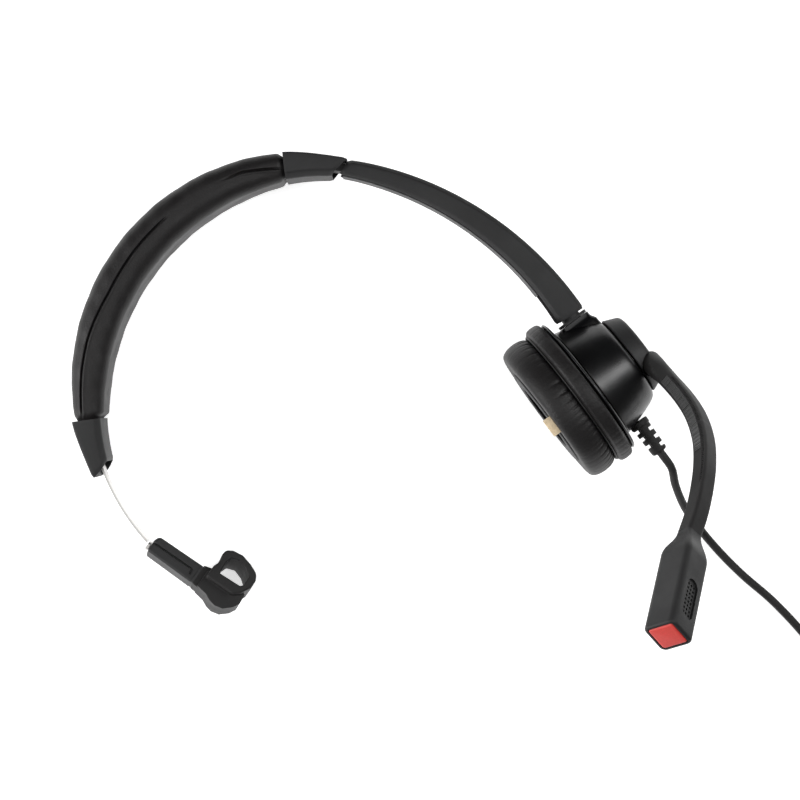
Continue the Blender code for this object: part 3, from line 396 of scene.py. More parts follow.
def make_stage():
    camera = bpy.data.objects.new("camera", bpy.data.cameras.new("camera"))
    bpy.context.scene.collection.objects.link(camera)
    # The picture's right and up directions, in the wearer's frame.
    turn = Matrix(((0.8, 0.6, 0.0), (-0.6, 0.8, 0.0), (0.0, 0.0, 1.0))).to_4x4()
    camera.matrix_world = WEARER @ Matrix.Translation(CAMERA_PLACE * MM) @ turn
    camera.data.sensor_width = 36.0
    camera.data.lens = CAMERA_LENS
    camera.data.clip_start = 0.01
    bpy.context.scene.camera = camera

    make_world()
    for name, place, aim, size, power in (
            ("softbox", (-45.0, 35.0, 930.0), (-45.0, 30.0, 0.0), (0.8, 0.8), 2.4),
            ("side_box", (590.0, -150.0, 700.0), (12.0, 0.0, 20.0), (0.24, 0.75), 4.2),
            ("left_box", (-620.0, 260.0, 360.0), (-40.0, 30.0, 10.0), (0.6, 0.4), 4.5)):
        light = bpy.data.objects.new(name, bpy.data.lights.new(name, "AREA"))
        bpy.context.scene.collection.objects.link(light)
        light.data.shape = "RECTANGLE"
        light.data.size, light.data.size_y = size
        light.data.energy = power
        light.visible_camera = False
        start, end = WEARER @ (Vector(place) * MM), WEARER @ (Vector(aim) * MM)
        light.matrix_world = (Matrix.Translation(start)
                              @ (end - start).to_track_quat("-Z", "Y").to_matrix().to_4x4())

    floor_data = bpy.data.meshes.new("floor")
    floor_data.from_pydata([(-4, -4, 0), (4, -4, 0), (4, 4, 0), (-4, 4, 0)], [], [(0, 1, 2, 3)])
    floor = bpy.data.objects.new("floor", floor_data)
    bpy.context.scene.collection.objects.link(floor)
    paper = bpy.data.materials.new("pale_paper")
    paper.use_nodes = True
    paper.node_tree.nodes["Principled BSDF"].inputs["Base Color"].default_value = (0.93, 0.93, 0.93, 1.0)
    paper.node_tree.nodes["Principled BSDF"].inputs["Roughness"].default_value = 0.95
    # Backlit paper: it stays white in the contact shadows.
    paper.node_tree.nodes["Principled BSDF"].inputs["Emission Color"].default_value = (1.0, 1.0, 1.0, 1.0)
    paper.node_tree.nodes["Principled BSDF"].inputs["Emission Strength"].default_value = 0.66
    floor.data.materials.append(paper)
    bpy.context.scene.view_settings.view_transform = "Standard"


# Cord ------------------------------------------------------------------------------------------

COIL_SLOTS = ((3, 0), (2, 0), (1, 0), (0, 0), (0, 1), (0, 2), (1, 2), (1, 1), (2, 1), (2, 2), (2, 3), (3, 3),
              (3, 2), (3, 1))


def coil_points(per_turn=36, last_share=0.21):
    """The wound turns, which step from slot to slot over the last quarter of each turn."""
    points = []
    pitch = 2 * CORD_RADIUS

    def slot_place(number):
        column, layer = COIL_SLOTS[min(number, len(COIL_SLOTS) - 1)]
        return COIL_MEAN_RADIUS + (column - 1.5) * pitch, COIL_BASE + CORD_RADIUS + layer * pitch

    total = int(per_turn * (len(COIL_SLOTS) - 1 + last_share))
    for step in range(total + 1):
        number, share = divmod(step / per_turn, 1.0)
        here, there = slot_place(int(number)), slot_place(int(number) + 1)
        move = float(ease(0.72, 1.0, share))
        radius, height = blend(here[0], there[0], move), blend(here[1], there[1], move)
        turn = math.pi + share * math.tau
        points.append(COIL_PLACE + Vector((radius * math.cos(turn), radius * math.sin(turn), height)))
    return points


def make_cord():
    start = [WEARER @ (Vector(place) * MM) / MM
             for place in ((CORD_X, -37.0, 0.0), (CORD_X, -40.0, 0.0), (CORD_X - 0.2, -45.0, -1.0))]
    coil = coil_points()
    lead = smooth_route([*start, *CORD_ROUTE, coil[0]], 60)
    tail = smooth_route([coil[-1], *TAIL_ROUTE], 40)
    points = lead[:-1] + coil + tail[1:]
    curve = bpy.data.curves.new("cord_lead", "CURVE")
    curve.dimensions = "3D"
    curve.bevel_depth = CORD_RADIUS * MM
    curve.bevel_resolution = 4
    curve.use_fill_caps = True
    spline = curve.splines.new("POLY")
    spline.points.add(len(points) - 1)
    for point, place in zip(spline.points, points):
        point.co = (*(place * MM), 1.0)
    curve.materials.append(LOOKS["black_rubber"])
    cord = bpy.data.objects.new("cord_lead", curve)
    bpy.context.scene.collection.objects.link(cord)
    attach(cord, "ear_cup")
    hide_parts("cord_tube", "cord_coil", "cord_tail")
    length = sum((b - a).length for a, b in zip(points, points[1:])) * MM
    print(f"cord {length:.3f} m")
    return cord, start[0] * MM


def make_strain_relief():
    """A tapered rubber sleeve with slots cut by turns from both sides."""
    outline = soften([(-22.6, 0.6), (-22.6, 3.9), (-24.6, 3.9), (-24.9, 3.5), (-36.4, 3.2), (-37.0, 2.7),
                      (-37.0, 0.6)], 0.35, 3)
    sleeve = mesh_piece("strain_sleeve", *spun(outline, 48, (CORD_X, 0, 0), "Y"), "black_rubber", "ear_cup",
                        ("strain_relief",), 40)
    for side, places in ((1, (-27.4, -31.0, -34.6)), (-1, (-25.9, -29.2, -32.8))):
        for place in places:
            notch = [(CORD_X + side * 1.5, place - 0.85), (CORD_X + side * 6.0, place - 0.85),
                     (CORD_X + side * 6.0, place + 0.85), (CORD_X + side * 1.5, place + 0.85)]
            boolean(sleeve, *skin([[(x, y, z) for x, y in notch] for z in (-6.0, 6.0)]))
    finish_shade(sleeve, 40)
    core = soften([(-23.5, 0.3), (-23.5, 1.95), (-37.4, 1.75), (-37.4, 0.3)], 0.2, 2)
    mesh_piece("strain_core", *spun(core, 32, (CORD_X, 0, 0), "Y"), "black_rubber", "ear_cup")


def finish_shade(piece, angle):
    piece.data.shade_smooth()
    piece.data.set_sharp_from_angle(angle=math.radians(angle))


def make_tie():
    """A soft strap wrapped round the coil, with a raised band where its end lies on it."""
    half_width, half_height = 6.4, 6.4
    loops = []
    for side, grow in ((-2.6, 0.25), (-2.6, 0.75), (-2.2, 0.95), (2.2, 0.95), (2.6, 0.75), (2.6, 0.25)):
        loop = soften([(-half_width - grow, -half_height - grow), (half_width + grow, -half_height - grow),
                       (half_width + grow, half_height + grow), (-half_width - grow, half_height + grow)],
                      2.4, 5)
        middle = COIL_PLACE + Vector((side, COIL_MEAN_RADIUS, COIL_BASE + half_height))
        loops.append([middle + Vector((0, y, z)) for y, z in loop])
    return mesh_piece("tie_strap", *skin(loops, ring=True), "black_rubber", "ear_cup", ("cord_tie",), 50,
                      table=True)


def make_plug():
    """A moulded USB plug: gripped body and ringed relief."""
    wide, long, high = PLUG_SIZE
    loops = []
    for along, shrink in ((0.0, 1.6), (0.5, 0.5), (1.6, 0.0), (long - 1.2, 0.0), (long - 0.3, 0.3),
                          (long, 0.9)):
        outline = soften([(-wide / 2 + shrink, shrink * 0.8), (wide / 2 - shrink, shrink * 0.8),
                          (wide / 2 - shrink, high - shrink * 0.8),
                          (-wide / 2 + shrink, high - shrink * 0.8)],
                         1.6, 5)
        loops.append([PLUG_PLACE + Vector((x, along, z)) for x, z in outline])
    body = mesh_piece("plug_grip", *skin(loops), "black_rubber", "ear_cup", ("plug_body",), 45, table=True)
    for side in (-1, 1):
        for number in range(5):
            along = 4.0 + 2.2 * number
            edge = side * wide / 2
            rib = [(edge - 0.5, along), (edge + 0.5, along),
                   (edge + 0.5, along + 1.0), (edge - 0.5, along + 1.0)]
            cutter = [[PLUG_PLACE + Vector((x, y, z)) for x, y in rib] for z in (1.4, high - 1.4)]
            boolean(body, *skin(cutter), table=True)
    finish_shade(body, 40)
    outline = [(-0.2, 0.4), (-0.2, 3.4)]
    for ring in range(4):
        outline += [(-2.2 - 2.4 * ring, 3.25 - 0.25 * ring), (-2.6 - 2.4 * ring, 2.4 - 0.08 * ring),
                    (-3.6 - 2.4 * ring, 2.4 - 0.08 * ring), (-4.0 - 2.4 * ring, 3.05 - 0.25 * ring)]
    outline += [(-12.0, 2.0), (-12.0, 0.4)]
    middle = PLUG_PLACE + Vector((0, 0, high / 2))
    relief = mesh_piece("plug_boot", *spun(soften(outline, 0.25, 2), 40, middle, "Y"), "black_rubber",
                        "ear_cup", ("plug_relief",), 45, table=True)
    return [body, relief]


# Ear cup ---------------------------------------------------------------------------------------

def make_cup_shell():
    """The glossy outer shell, with its rounded lip and the short neck block that holds the swivel."""
    outline = [(1.6, 23.9), (2.6, 23.7), (7.0, 22.5), (12.0, 20.9), (16.2, 19.3), (18.0, 18.2), (18.9, 16.6),
               (18.9, 5.2), (17.1, 5.2), (17.1, 15.0), (15.4, 17.4), (11.5, 19.1), (6.5, 20.7), (1.6, 21.9)]
    shell = mesh_piece("housing_shell", *spun(soften(outline, 1.1, 5), 180), "gloss_black", "ear_cup",
                       ("housing",), 50)
    loops = []
    for y, grow in ((14.5, 1.6), (19.4, 1.3), (20.4, 0.7), (21.2, 0.2), (21.9, 0.0), (NECK_TOP, 0.0)):
        outline = soften([(PIVOT_X - 6.2 - grow, -6.2 - grow), (PIVOT_X + 6.2 + grow, -6.2 - grow),
                          (PIVOT_X + 6.2 + grow, 6.2 + grow), (PIVOT_X - 6.2 - grow, 6.2 + grow)], 1.8, 5)
        loops.append([(x, y, z) for x, z in outline])
    neck = mesh_piece("neck_block", *skin(loops), "gloss_black", "ear_cup", (), 30)
    rings = [disc(POST_HOLE, y, 40, PIVOT_X) for y in (11.0, 25.0)]
    for piece in (shell, neck):
        boolean(piece, *skin(rings))
    hole = [disc(CORD_HOLE, y, 32, CORD_X) for y in (-30.0, -14.0)]
    boolean(shell, *skin(hole))
    finish_shade(shell, 24)
    finish_shade(neck, 30)
    rim = soften([(1.5, 23.4), (1.0, 28.6), (0.6, 29.2), (0.1, 29.2), (-0.35, 28.6), (-0.35, 22.0),
                  (1.0, 22.0)], 0.35, 4)
    mesh_piece("cup_rim", *spun(rim, 180), "gloss_black", "ear_cup", ("rim_ring",), 50)


def pad_folds(turn, depth):
    """How far the leather stands out at an angle round the pad: uneven narrow creases and slow swells."""
    wander = turn + 0.05 * math.sin(3 * turn + 0.4) + 0.03 * math.sin(7 * turn)
    uneven = 0.55 + 0.3 * math.sin(5 * turn + 1.0) + 0.25 * math.sin(13 * turn + 2.2)
    crease = math.exp(-(math.sin(28 * wander) / 0.42) ** 2) * max(uneven, 0.1)
    second = math.exp(-(math.sin(17.5 * wander + 0.6) / 0.25) ** 2) * max(1.1 - uneven, 0.0)
    swell = 0.3 * math.sin(6 * turn + 0.5) + 0.2 * math.sin(11 * turn)
    return depth * (0.35 * swell - crease - 0.6 * second)


def make_ear_pad():
    """The sewn leather lobe with its ear hollow, the gathered skirt behind it and the ring between them."""
    low, high, radius, hollow = -19.6, -7.6, 30.0, 12.0
    middle, half = (low + high) / 2, (high - low) / 2
    lobe = []
    for step in range(25):
        turn = math.pi * step / 24
        lobe.append((middle + half * math.cos(turn), blend(25.6, radius, max(math.sin(turn), 0.0) ** 0.62)))
    for step in range(17):
        turn = math.pi * (1 - step / 16)
        fullness = max(math.sin(turn), 0.0) ** 0.6
        lobe.append((middle + half * math.cos(turn), blend(hollow + 4.6, hollow, fullness)))

    def lobe_shape(along, distance, turn):
        if distance < 22.0:
            return along, distance
        edge = ease(22.0, 28.0, distance)
        # Folds are deepest beside the skirt and almost gone past the fullest line.
        beside = max(along - middle, 0.0) / half
        fold = pad_folds(turn, 0.62) * edge * (0.08 + 0.92 * beside ** 1.3)
        return along + 0.3 * fold * (1 if along > middle else -1), distance + fold

    pad = mesh_piece("ear_pad", *spun(lobe, 600, shape=lobe_shape), "leatherette", "ear_cup",
                     ("ear_cushion",), 70)

    skirt = soften([(-0.8, 27.7), (-0.85, 29.9), (-1.9, 30.8), (-4.4, 31.0), (-6.4, 30.6), (-7.3, 29.0),
                    (-7.4, 24.4), (-4.6, 24.4), (-4.5, 27.7)], 0.7, 4)

    def skirt_shape(along, distance, turn):
        if distance < 28.4:
            return along, distance
        fold = pad_folds(turn + 0.05, 0.10) + 0.05 * math.sin(9 * turn)
        return along, distance + fold * ease(28.4, 30.5, distance)

    band = mesh_piece("ear_pad_skirt", *spun(skirt, 432, shape=skirt_shape), "leatherette", "ear_cup",
                      ("cushion_skirt",), 70)

    welt = soften([(-7.9, 24.6), (-7.0, 24.6), (-7.0, 28.9), (-7.45, 29.4), (-7.9, 28.9)], 0.3, 3)
    mesh_piece("pad_welt", *spun(welt, 240), "leatherette", "ear_cup", (), 50)
    ring = soften([(-19.6, 20.6), (-19.9, 20.6), (-20.2, 20.2), (-20.2, 14.0), (-19.9, 13.6),
                   (-19.6, 13.6)], 0.2, 2)
    mesh_piece("pad_face_ring", *spun(ring, 200), "matte_black", "ear_cup", (), 50)


def make_tag():
    """A folded paper pull tag that stands out of the pad's face, near its front edge."""
    outline = ((-19.3, 24.6), (-21.6, 24.4), (-22.6, 23.9), (-22.7, 23.6), (-22.5, 23.4), (-21.6, 23.7),
               (-19.3, 24.0))
    loops = []
    for y in np.linspace(-6.6, 0.7, 12):
        bow = 0.2 * math.sin((y + 6.6) / 7.3 * math.pi) + 0.1 * math.sin(y * 1.9)
        loops.append([(x, y, z + bow) for x, z in outline])
    mesh_piece("pull_tag", *skin(loops), "cream_tape", "ear_cup", ("cushion_tag",), 40)


# Headband --------------------------------------------------------------------------------------

SEAM_ANGLES, SEAM_RADII = (60.0, 71.0, 94.0, 117.0, 131.0, 151.0), (84.6, 86.6, 85.4, 85.0, 87.0, 87.9)


def pad_section(angle):
    """Ends and roundness of the sleeve at an angle: low and high radius, half width and corner."""
    share = min(max((angle - PAD_START) / (PAD_END - PAD_START), 0.0), 1.0)
    full = math.sin(math.pi * (0.02 + 0.96 * share)) ** 0.55
    low, high = blend(80.8, 76.4, full ** 1.3), blend(90.6, 92.6, full)
    half, corner = blend(11.5, PAD_HALF_WIDTH, full), blend(4.0, 6.8, full)
    # Both ends tuck into their caps.
    for start, end, tucked in ((PAD_START + 1.5, PAD_START - 0.1, (81.7, 89.6)),
                               (PAD_END - 1.5, PAD_END + 0.1, (82.4, 90.3))):
        tuck = float(ease(start, end, angle))
        low, high = blend(low, tucked[0], tuck), blend(high, tucked[1], tuck)
        half, corner = blend(half, 11.3, tuck), blend(corner, 3.6, tuck)
    return low, high, half, corner


def dense_section(angle, count=170, points=10):
    """The sleeve's (radius, z) outline, with most of its points beside the seam."""
    low, high, half, corner = pad_section(angle)
    section = []
    for quarter, (radius, z) in enumerate(((high - corner, half - corner), (low + corner, half - corner),
                                           (low + corner, corner - half), (high - corner, corner - half))):
        for step in range(points):
            turn = math.pi / 2 * (quarter + step / (points - 1))
            section.append((radius + corner * math.cos(turn), z + corner * math.sin(turn)))
    closed = [*section, section[0]]
    lengths = np.concatenate([[0.0], np.cumsum([math.dist(a, b) for a, b in zip(closed, closed[1:])])])
    # The front half of the outline runs from its largest radius to its smallest.
    seam = float(np.interp(-seam_radius(angle), [-a for a, _ in section[:2 * points]], lengths[:2 * points]))
    grid = np.linspace(0.0, lengths[-1], 3000)
    crowd = np.cumsum(1.0 + 6.0 * np.exp(-((grid - seam) / 1.3) ** 2))
    targets = np.interp(np.arange(count) / count * (crowd[-1] - crowd[0]) + crowd[0], crowd, grid)
    return list(zip(np.interp(targets, lengths, [a for a, _ in closed]),
                    np.interp(targets, lengths, [b for _, b in closed]),
                    targets - seam))


def seam_radius(angle):
    return float(np.interp(angle, SEAM_ANGLES, SEAM_RADII))


def hollow_skin(outer, inner):
    """Points and faces of a tube with an outer and an inner wall of different counts."""
    points, faces = [], []
    starts = []
    for loops in (outer, inner):
        starts.append(len(points))
        count = len(loops[0])
        base = len(points)
        points += [point for loop in loops for point in loop]
        for row in range(len(loops) - 1):
            for i in range(count):
                j = (i + 1) % count
                faces.append((base + row * count + i, base + row * count + j,
                              base + (row + 1) * count + j, base + (row + 1) * count + i))
    return points, faces, starts


def end_faces(count, second, rows):
    """Faces that join a tube's outer wall to its inner wall, whose points start at second."""
    faces = []
    for row in rows:
        for i in range(count):
            a, b = row * count + i, row * count + (i + 1) % count
            faces.append((a, b, second + b, second + a))
    return faces


def make_headband_sleeve():
    """The padded sleeve over the channel, with its long folded seam near the outer edge."""
    rows = 190
    loops, walls = [], []
    for row in range(rows + 1):
        angle = blend(PAD_START - 1.3, PAD_END + 1.3, row / rows)
        low, high, _, _ = pad_section(angle)
        ends = float(ease(PAD_START, PAD_START + 4.0, angle) * ease(PAD_END, PAD_END - 4.0, angle))
        # The seam closes up over the middle of the crown.
        depth = 1.2 * ends * float(1.0 - ease(70.0, 77.0, angle) * ease(97.0, 92.0, angle))
        loop, wall = [], []
        for radius, z, away in dense_section(angle):
            side = 1.0 if z > 0 else -1.0
            out = (radius - (low + high) / 2) / ((high - low) / 2)
            dent = (0.10 * math.sin(angle * 0.55 + side) + 0.05 * math.sin(angle * 1.3 + radius * 0.4)) * ends
            slit = depth * (math.exp(-(away / 0.32) ** 2) - 0.22 * math.exp(-((away - 0.9) / 0.5) ** 2))
            loop.append(on_band(angle, radius + 0.6 * dent * out, z + side * dent - slit))
            turn = math.atan2(z / 8.6, (radius - 86.2) / 2.9)
            scale = 1.0 / max(abs(math.cos(turn)), abs(math.sin(turn)))
            wall.append(on_band(angle, 86.2 + 2.9 * scale * math.cos(turn), 8.6 * scale * math.sin(turn)))
        loops.append(loop)
        walls.append(wall)
    points, faces, (_, second) = hollow_skin(loops, walls)
    count = len(loops[0])
    faces += end_faces(count, second, (0, rows))
    sleeve = mesh_piece("headband_sleeve", points, faces, "leatherette", "headband", ("pad_sleeve",), 60)


def make_cap(name, node, angles, radii, widths, slope):
    """A tapered end cap: a thin shell from the pad to a slanted mouth with a rounded lip."""
    steps = 26
    walls = []
    for wall in (0.0, 1.15):
        loops = []
        for step in range(steps + 1):
            share = step / steps
            # The lip rolls in over the last step so that the mouth's edge is round.
            roll = ease(0.93, 1.0, share) * 0.35 * (1 if wall == 0 else -1)
            taper = math.sin(share * math.pi / 2) ** 1.3
            low = blend(radii[0][0], radii[1][0], share) + wall * 0.8 + roll
            high = blend(radii[0][1], radii[1][1], taper) - wall - roll
            half = blend(widths[0], widths[1], share) - wall - roll
            outline = soften([(high, half), (low + 2.4, half), (low, half - 2.6), (low, 2.6 - half),
                              (low + 2.4, -half), (high, -half)], 0.8, 4)
            loop = []
            for radius, z in outline:
                outward = (radius - low) / (high - low)
                mouth = blend(angles[1][0], angles[1][1], outward) + slope * math.sin(outward * math.pi)
                loop.append(on_band(blend(angles[0], mouth, share), radius, z))
            loops.append(loop)
        walls.append(loops)
    points, faces, (_, second) = hollow_skin(*walls)
    count = len(walls[0][0])
    faces += end_faces(count, second, (0, steps))
    return mesh_piece(name, points, faces, "matte_black", "headband", (node,), 32)


def make_caps():
    make_cap("cap_left", "end_cap_left", (PAD_END, (162.2, 165.0)), ((81.2, 91.9), (82.4, 89.8)),
             (13.2, 12.0), 0.4)
    make_cap("cap_right", "end_cap_right", (PAD_START, (47.9, 44.6)), ((80.6, 91.0), (81.6, 89.2)),
             (13.2, 12.0), 0.3)


# Arm -------------------------------------------------------------------------------------------

def arm_station(share):
    first = math.radians(ARM_START - ARM_TURN) * STRIP_RADIUS
    second = math.radians(ARM_TURN - ARM_STOP) * ARM_RADIUS
    distance = share * (first + second)
    if distance < first:
        centre, radius = BAND_CENTRE, STRIP_RADIUS
        turn = math.radians(ARM_START) - distance / STRIP_RADIUS
    else:
        radius = ARM_RADIUS
        centre = on_band(ARM_TURN, STRIP_RADIUS - ARM_RADIUS, 0.0)
        turn = math.radians(ARM_TURN) - (distance - first) / ARM_RADIUS
    outward = Vector((math.cos(turn), math.sin(turn), 0.0))
    return centre + outward * radius, outward, blend(6.0, 11.3, share ** 0.85), blend(7.6, 9.0, share)


def make_arm_shell():
    """The U-shaped arm with rounded chamfers along its edges, tapering in at both ends."""
    loops = []
    steps = 90
    for step in range(steps + 1):
        share = ARM_END_SHARE * step / steps
        centre, outward, thick, width = arm_station(share)
        half = thick / 2
        # The ends are drawn in a little, so that their edges are round.
        nip = 0.45 * (1 - ease(0.0, 0.008, share)) + 0.4 * ease(ARM_END_SHARE - 0.012, ARM_END_SHARE, share)
        floor, inside = half - 1.5, width - 1.9
        outline = [(half - nip, width - 1.5 - nip), (half - 1.5 - nip, width - nip),
                   (1.2 - half + nip, width - nip),
                   (nip - half, width - 1.4 - nip), (nip - half, inside), (floor, inside), (floor, -inside),
                   (nip - half, -inside), (nip - half, 1.4 - width + nip), (1.2 - half + nip, nip - width),
                   (half - 1.5 - nip, nip - width), (half - nip, 1.5 - width + nip)]
        slant = ARM_SLANT * (1 - ease(0.0, 0.08, share))
        loop = []
        for n, z in soften(outline, 0.35, 2):
            onward = Vector((outward.y, -outward.x, 0.0)) * (slant * n / half)
            loop.append(centre + outward * n + onward + Vector((0, 0, z)))
        loops.append(loop)
    mesh_piece("arm_shell", *skin(loops), "matte_black", "arm", ("arm_outer",), 30)
    # The arm's tongue, which slides into the right cap over the strip.
    loops = []
    for angle, nip in ((43.0, 0.0), (45.0, 0.0), (48.6, 0.0), (48.8, 0.4)):
        outline = soften([(87.4 - nip, 5.4 - nip), (84.4 + nip, 5.4 - nip), (84.4 + nip, nip - 5.4),
                          (87.4 - nip, nip - 5.4)], 0.6, 3)
        loops.append([on_band(angle, radius, z) for radius, z in outline])
    mesh_piece("arm_tongue", *skin(loops), "matte_black", "arm")
    # A square collar fills the gap between the arm's end and the cup's neck.
    loops = []
    for y, reach, deep in ((23.42, 6.0, 6.0), (24.45, 6.0, 6.0), (24.5, 3.5, 6.6), (28.5, 3.5, 6.6)):
        outline = soften([(PIVOT_X - reach, -deep), (PIVOT_X + reach, -deep), (PIVOT_X + reach, deep),
                          (PIVOT_X - reach, deep)], 3.2, 5)
        loops.append([(x, y, z) for x, z in outline])
    mesh_piece("pivot_collar", *skin(loops), "matte_black", "pivot")


# Boom and microphone ---------------------------------------------------------------------------

def square_section(side, roundness, roll, sides=(44, 10, 10, 10)):
    """(across, normal) points of a rounded square, from its crown face, which the ribs need finely."""
    corner = blend(side * 0.18, side / 2 * 0.98, roundness)
    half, flat = side / 2, side / 2 - corner
    section = []
    # Each side is a straight run and then the corner after it: crown face, head face, chin face, outer face.
    for number, count in enumerate(sides):
        turn = number * math.pi / 2
        for step in range(count):
            place = blend(flat, -flat, step / count)
            section.append((place * math.cos(turn) - half * math.sin(turn),
                            place * math.sin(turn) + half * math.cos(turn)))
        for step in range(8):
            bend = turn + math.pi / 2 * step / 8 + math.pi / 2
            section.append((-flat * (math.cos(turn) + math.sin(turn)) + corner * math.cos(bend),
                            flat * (math.cos(turn) - math.sin(turn)) + corner * math.sin(bend)))
    return [(a * math.cos(roll) - b * math.sin(roll), a * math.sin(roll) + b * math.cos(roll))
            for a, b in section]


def ribbed(across, normal, half, distance, rho):
    """Height of the crown face and its painted-light slot: bars along it near the root, and tiny pits beside them.
    """
    if normal < half - 0.3:
        return 0.0, 0
    beat = 0.5 + 0.5 * math.cos(distance * math.tau / RIB_PITCH)
    bar = ease(31.0, 33.0, rho) * ease(86.0, 76.0, rho) * ease(1.85, 1.55, abs(across + 0.45))
    height = 0.34 * bar * ease(0.3, 0.8, beat)
    # Slot 1 paints a highlight on the bars with the paler, glossier rubber; slot 2 paints shade in the gaps
    # between the bars.
    painted_light_slot = 0
    if bar > 0.4:
        painted_light_slot = 1 if beat > 0.5 else 2
    for column, shift in ((1.75, 0.0), (2.25, 0.5)):
        step = (distance / RIB_PITCH + shift) % 1.0 - 0.5
        away = math.hypot(step * RIB_PITCH, across - column)
        pit = 0.4 * ease(33.0, 37.0, rho) * ease(99.0, 92.0, rho) * ease(0.36, 0.16, away)
        height -= pit
        # The pits get the near-black painted shade as well.
        painted_light_slot = 2 if pit > 0.12 else painted_light_slot
    return height, painted_light_slot


def make_boom():
    """The flexible rubber boom: one sleeve drawn over both halves of its joint, which rides on no body."""
    rows = 620
    route = smooth_route(BOOM_ROUTE, rows + 1)
    spacing = sum((b - a).length for a, b in zip(route, route[1:])) / rows
    loops, painted_light_slots = [], []
    for row, place in enumerate(route):
        share = row / rows
        along = (route[min(row + 1, rows)] - route[max(row - 1, 0)]).normalized()
        across = Vector((along.y, -along.x))
        settle = float(ease(0.0, 0.2, share))
        side = blend(BOOM_ROOT_SIDE, BOOM_SIDE, settle)
        end_nip = 0.5 * (1 - ease(0.0, 0.006, share))
        flat = square_section(side - 2 * end_nip, 1 - settle, 0.0)
        loop = []
        for a, b in flat:
            height, painted_light_slot = ribbed(a, b, side / 2 - end_nip, row * spacing, place.y)
            painted_light_slots.append(painted_light_slot)
            b += height
            roll = BOOM_ROLL * settle
            turned_a = a * math.cos(roll) - b * math.sin(roll)
            turned_b = a * math.sin(roll) + b * math.cos(roll)
            loop.append(boom_place(*(place + across * turned_a), turned_b))
        loops.append(loop)
    sleeve = mesh_piece("boom_sleeve", *skin(loops), "black_rubber", "", ("boom_lower", "boom_upper"), 50)
    # The bars get the painted highlight, and the gaps between them and the pits get the painted shade, face by
    # face.
    sleeve.data.materials.append(LOOKS["rib_gloss_and_painted_highlight"])
    sleeve.data.materials.append(LOOKS["pit_shade"])
    for face, painted_light_slot in zip(sleeve.data.polygons, painted_light_slots[:rows * len(loops[0])]):
        face.material_index = painted_light_slot
    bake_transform(sleeve)


def mic_place(along, across, normal):
    """A point of the microphone head: along it, outward across it and off the boom's plane."""
    start, end = Vector(MIC_START), Vector(MIC_END)
    forward = (end - start).normalized()
    outward = Vector((forward.y, -forward.x))
    turned_across = across * math.cos(MIC_ROLL) - normal * math.sin(MIC_ROLL)
    turned_normal = across * math.sin(MIC_ROLL) + normal * math.cos(MIC_ROLL)
    return boom_place(*(start + forward * along + outward * turned_across), turned_normal)


def mic_prism(outline, low, high):
    """A solid under an (along, normal) outline of the head's outer face, between two depths."""
    return skin([[mic_place(a, depth, n) for a, n in outline] for depth in (low, high)])


def oval(middle, half_long, half_wide, parts=16):
    """A closed (along, normal) outline with round ends."""
    straight = half_long - half_wide
    return [(middle + math.copysign(straight, math.cos(t)) + half_wide * math.cos(t), half_wide * math.sin(t))
            for t in ((k + 0.5) * math.tau / (2 * parts) for k in range(2 * parts))]


def make_microphone():
    """The hollow head, with a sunken oval plate of square holes, and the red insert in its end."""
    length = (Vector(MIC_END) - Vector(MIC_START)).length
    half = MIC_SIDE / 2
    middle = length - 14.2
    loops = []
    for step in range(25):
        share = step / 24
        side = blend(BOOM_SIDE, MIC_SIDE, (1 - math.cos(math.pi * share)) / 2)
        roll = blend(BOOM_ROLL - MIC_ROLL, 0.0, share)
        along = blend(-0.3, MIC_NECK, share)
        loops.append([mic_place(along, a, b) for a, b in square_section(side, 0.0, roll)])
    for along, shrink in ((MIC_NECK + 8.0, 0.0), (length - 9.0, 0.0), (length - 1.0, 0.0),
                          (length - 0.5, 0.12), (length - 0.15, 0.4), (length, 0.9)):
        loops.append([mic_place(along, a, b) for a, b in square_section(MIC_SIDE - 2 * shrink, 0.0, 0.0)])
    shell = mesh_piece("mic_body", *skin(loops), "matte_black", "mic_boom", ("mic_shell",), 45)
    inside = half - 1.2
    box = soften([(-inside, -inside), (inside, -inside), (inside, inside), (-inside, inside)], 1.0, 3)
    bore = [[mic_place(along, a, n) for a, n in box] for along in (MIC_NECK + 2.0, length + 5.0)]
    boolean(shell, *skin(bore))
    boolean(shell, *mic_prism(oval(middle, 8.3, 2.75), 0.0, half + 3.0))
    finish_shade(shell, 35)

    sheet = mic_prism(oval(middle, 8.1, 2.55), half - 1.5, half - 0.7)
    plate = mesh_piece("mic_plate", *sheet, "matte_black", "mic_boom",
                       ("mic_grille",), 35)
    holes, faces = [], []
    for row in range(8):
        for column in range(3):
            along, aside = middle + 1.72 * (row - 3.5), (column - 1) * 1.42
            corners = soften([(along - 0.48, aside - 0.42), (along + 0.48, aside - 0.42),
                              (along + 0.48, aside + 0.42), (along - 0.48, aside + 0.42)], 0.2, 2)
            points, sides = mic_prism(corners, half - 3.0, half + 1.0)
            faces += [tuple(len(holes) + k for k in side) for side in sides]
            holes += points
    boolean(plate, holes, faces)
    finish_shade(plate, 35)

    tip = inside - 0.3
    loops = []
    for along, shrink in ((length - 2.2, 0.3), (length - 1.9, 0.0), (length - 0.1, 0.0),
                          (length + 0.15, 0.25), (length + 0.25, 0.7)):
        reach = tip - shrink
        outline = soften([(-reach, -reach), (reach, -reach), (reach, reach), (-reach, reach)], 1.0, 4)
        loops.append([mic_place(along, a, n) for a, n in outline])
    mesh_piece("mic_insert", *skin(loops), "red_plastic", "mic_boom", ("mic_tip",), 40)


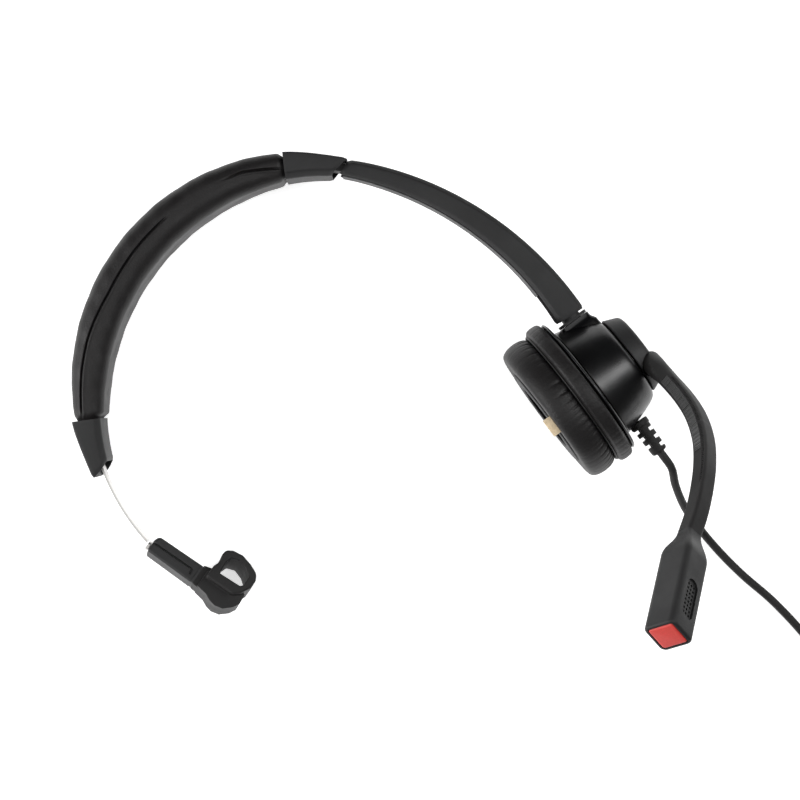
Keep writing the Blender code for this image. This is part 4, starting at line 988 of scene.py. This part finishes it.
def make_turret():
    """The rotating turret that carries the boom, and the cap on its face."""
    outline = soften([(19.25, 15.9), (19.7, 16.6), (25.2, 14.3), (26.0, 13.2), (26.0, 9.75), (24.0, 9.75),
                      (24.0, 3.2), (22.6, 3.2), (22.6, 12.4), (19.25, 14.4)], 0.5, 4)
    shell = mesh_piece("turret_shell", *spun(outline, 160), "matte_black", "boom", ("boom_turret",), 45)
    rings = [[boom_place(24.0 + 4.5 * math.cos(t * math.tau / 40), rho, 4.5 * math.sin(t * math.tau / 40))
              for t in range(40)] for rho in (10.8, 19.0)]
    boolean(shell, *skin(rings))
    finish_shade(shell, 40)
    cap = soften([(24.95, 0.05), (24.95, 9.4), (25.9, 9.4), (26.3, 8.7), (26.05, 5.0), (26.15, 0.05)], 0.3, 3)
    mesh_piece("turret_button", *spun(cap, 120), "gloss_black", "boom", ("turret_cap",), 45)


def make_temple_bridge():
    """A thin layer that closes the joint between the temple pad's hard block and its rubber stem."""
    axis = Vector((0.32, -0.947, 0.0)).normalized()
    across = Vector((-axis.y, axis.x, 0.0))
    turn = Matrix.Rotation(math.radians(16.0), 3, -axis)
    place = Vector((-171.2, 51.4, 0.0))
    loops = []
    for along, nip in ((20.4, 0.15), (22.2, 0.15)):
        outline = soften([(4.45 - nip, 6.5 - nip), (-3.5 + nip, 6.5 - nip), (-3.5 + nip, nip - 6.5),
                          (4.45 - nip, nip - 6.5)], 0.9, 3)
        loops.append([place + turn @ (axis * along + across * inward + Vector((0, 0, depth)))
                      for inward, depth in outline])
    mesh_piece("temple_joint", *skin(loops), "matte_black", "temple")


def main():
    make_stage()
    cord, exit_point = make_cord()
    make_strain_relief()
    tie = make_tie()
    plug = make_plug()
    make_cup_shell()
    make_ear_pad()
    make_tag()
    make_headband_sleeve()
    make_caps()
    make_arm_shell()
    make_turret()
    make_boom()
    make_microphone()
    remeshed("temple_rubber", "temple_pad", "black_rubber", "temple", 0.22, 5)
    remeshed("temple_block", "temple_carrier", "matte_black", "temple", 0.2, 3)
    make_temple_bridge()
    for part in frame["record"]["subparts"]:
        piece = frame["nodes"][part["node"]]
        piece.data.materials.clear()
        piece.data.materials.append(LOOKS[part["material_slot"]])


main()
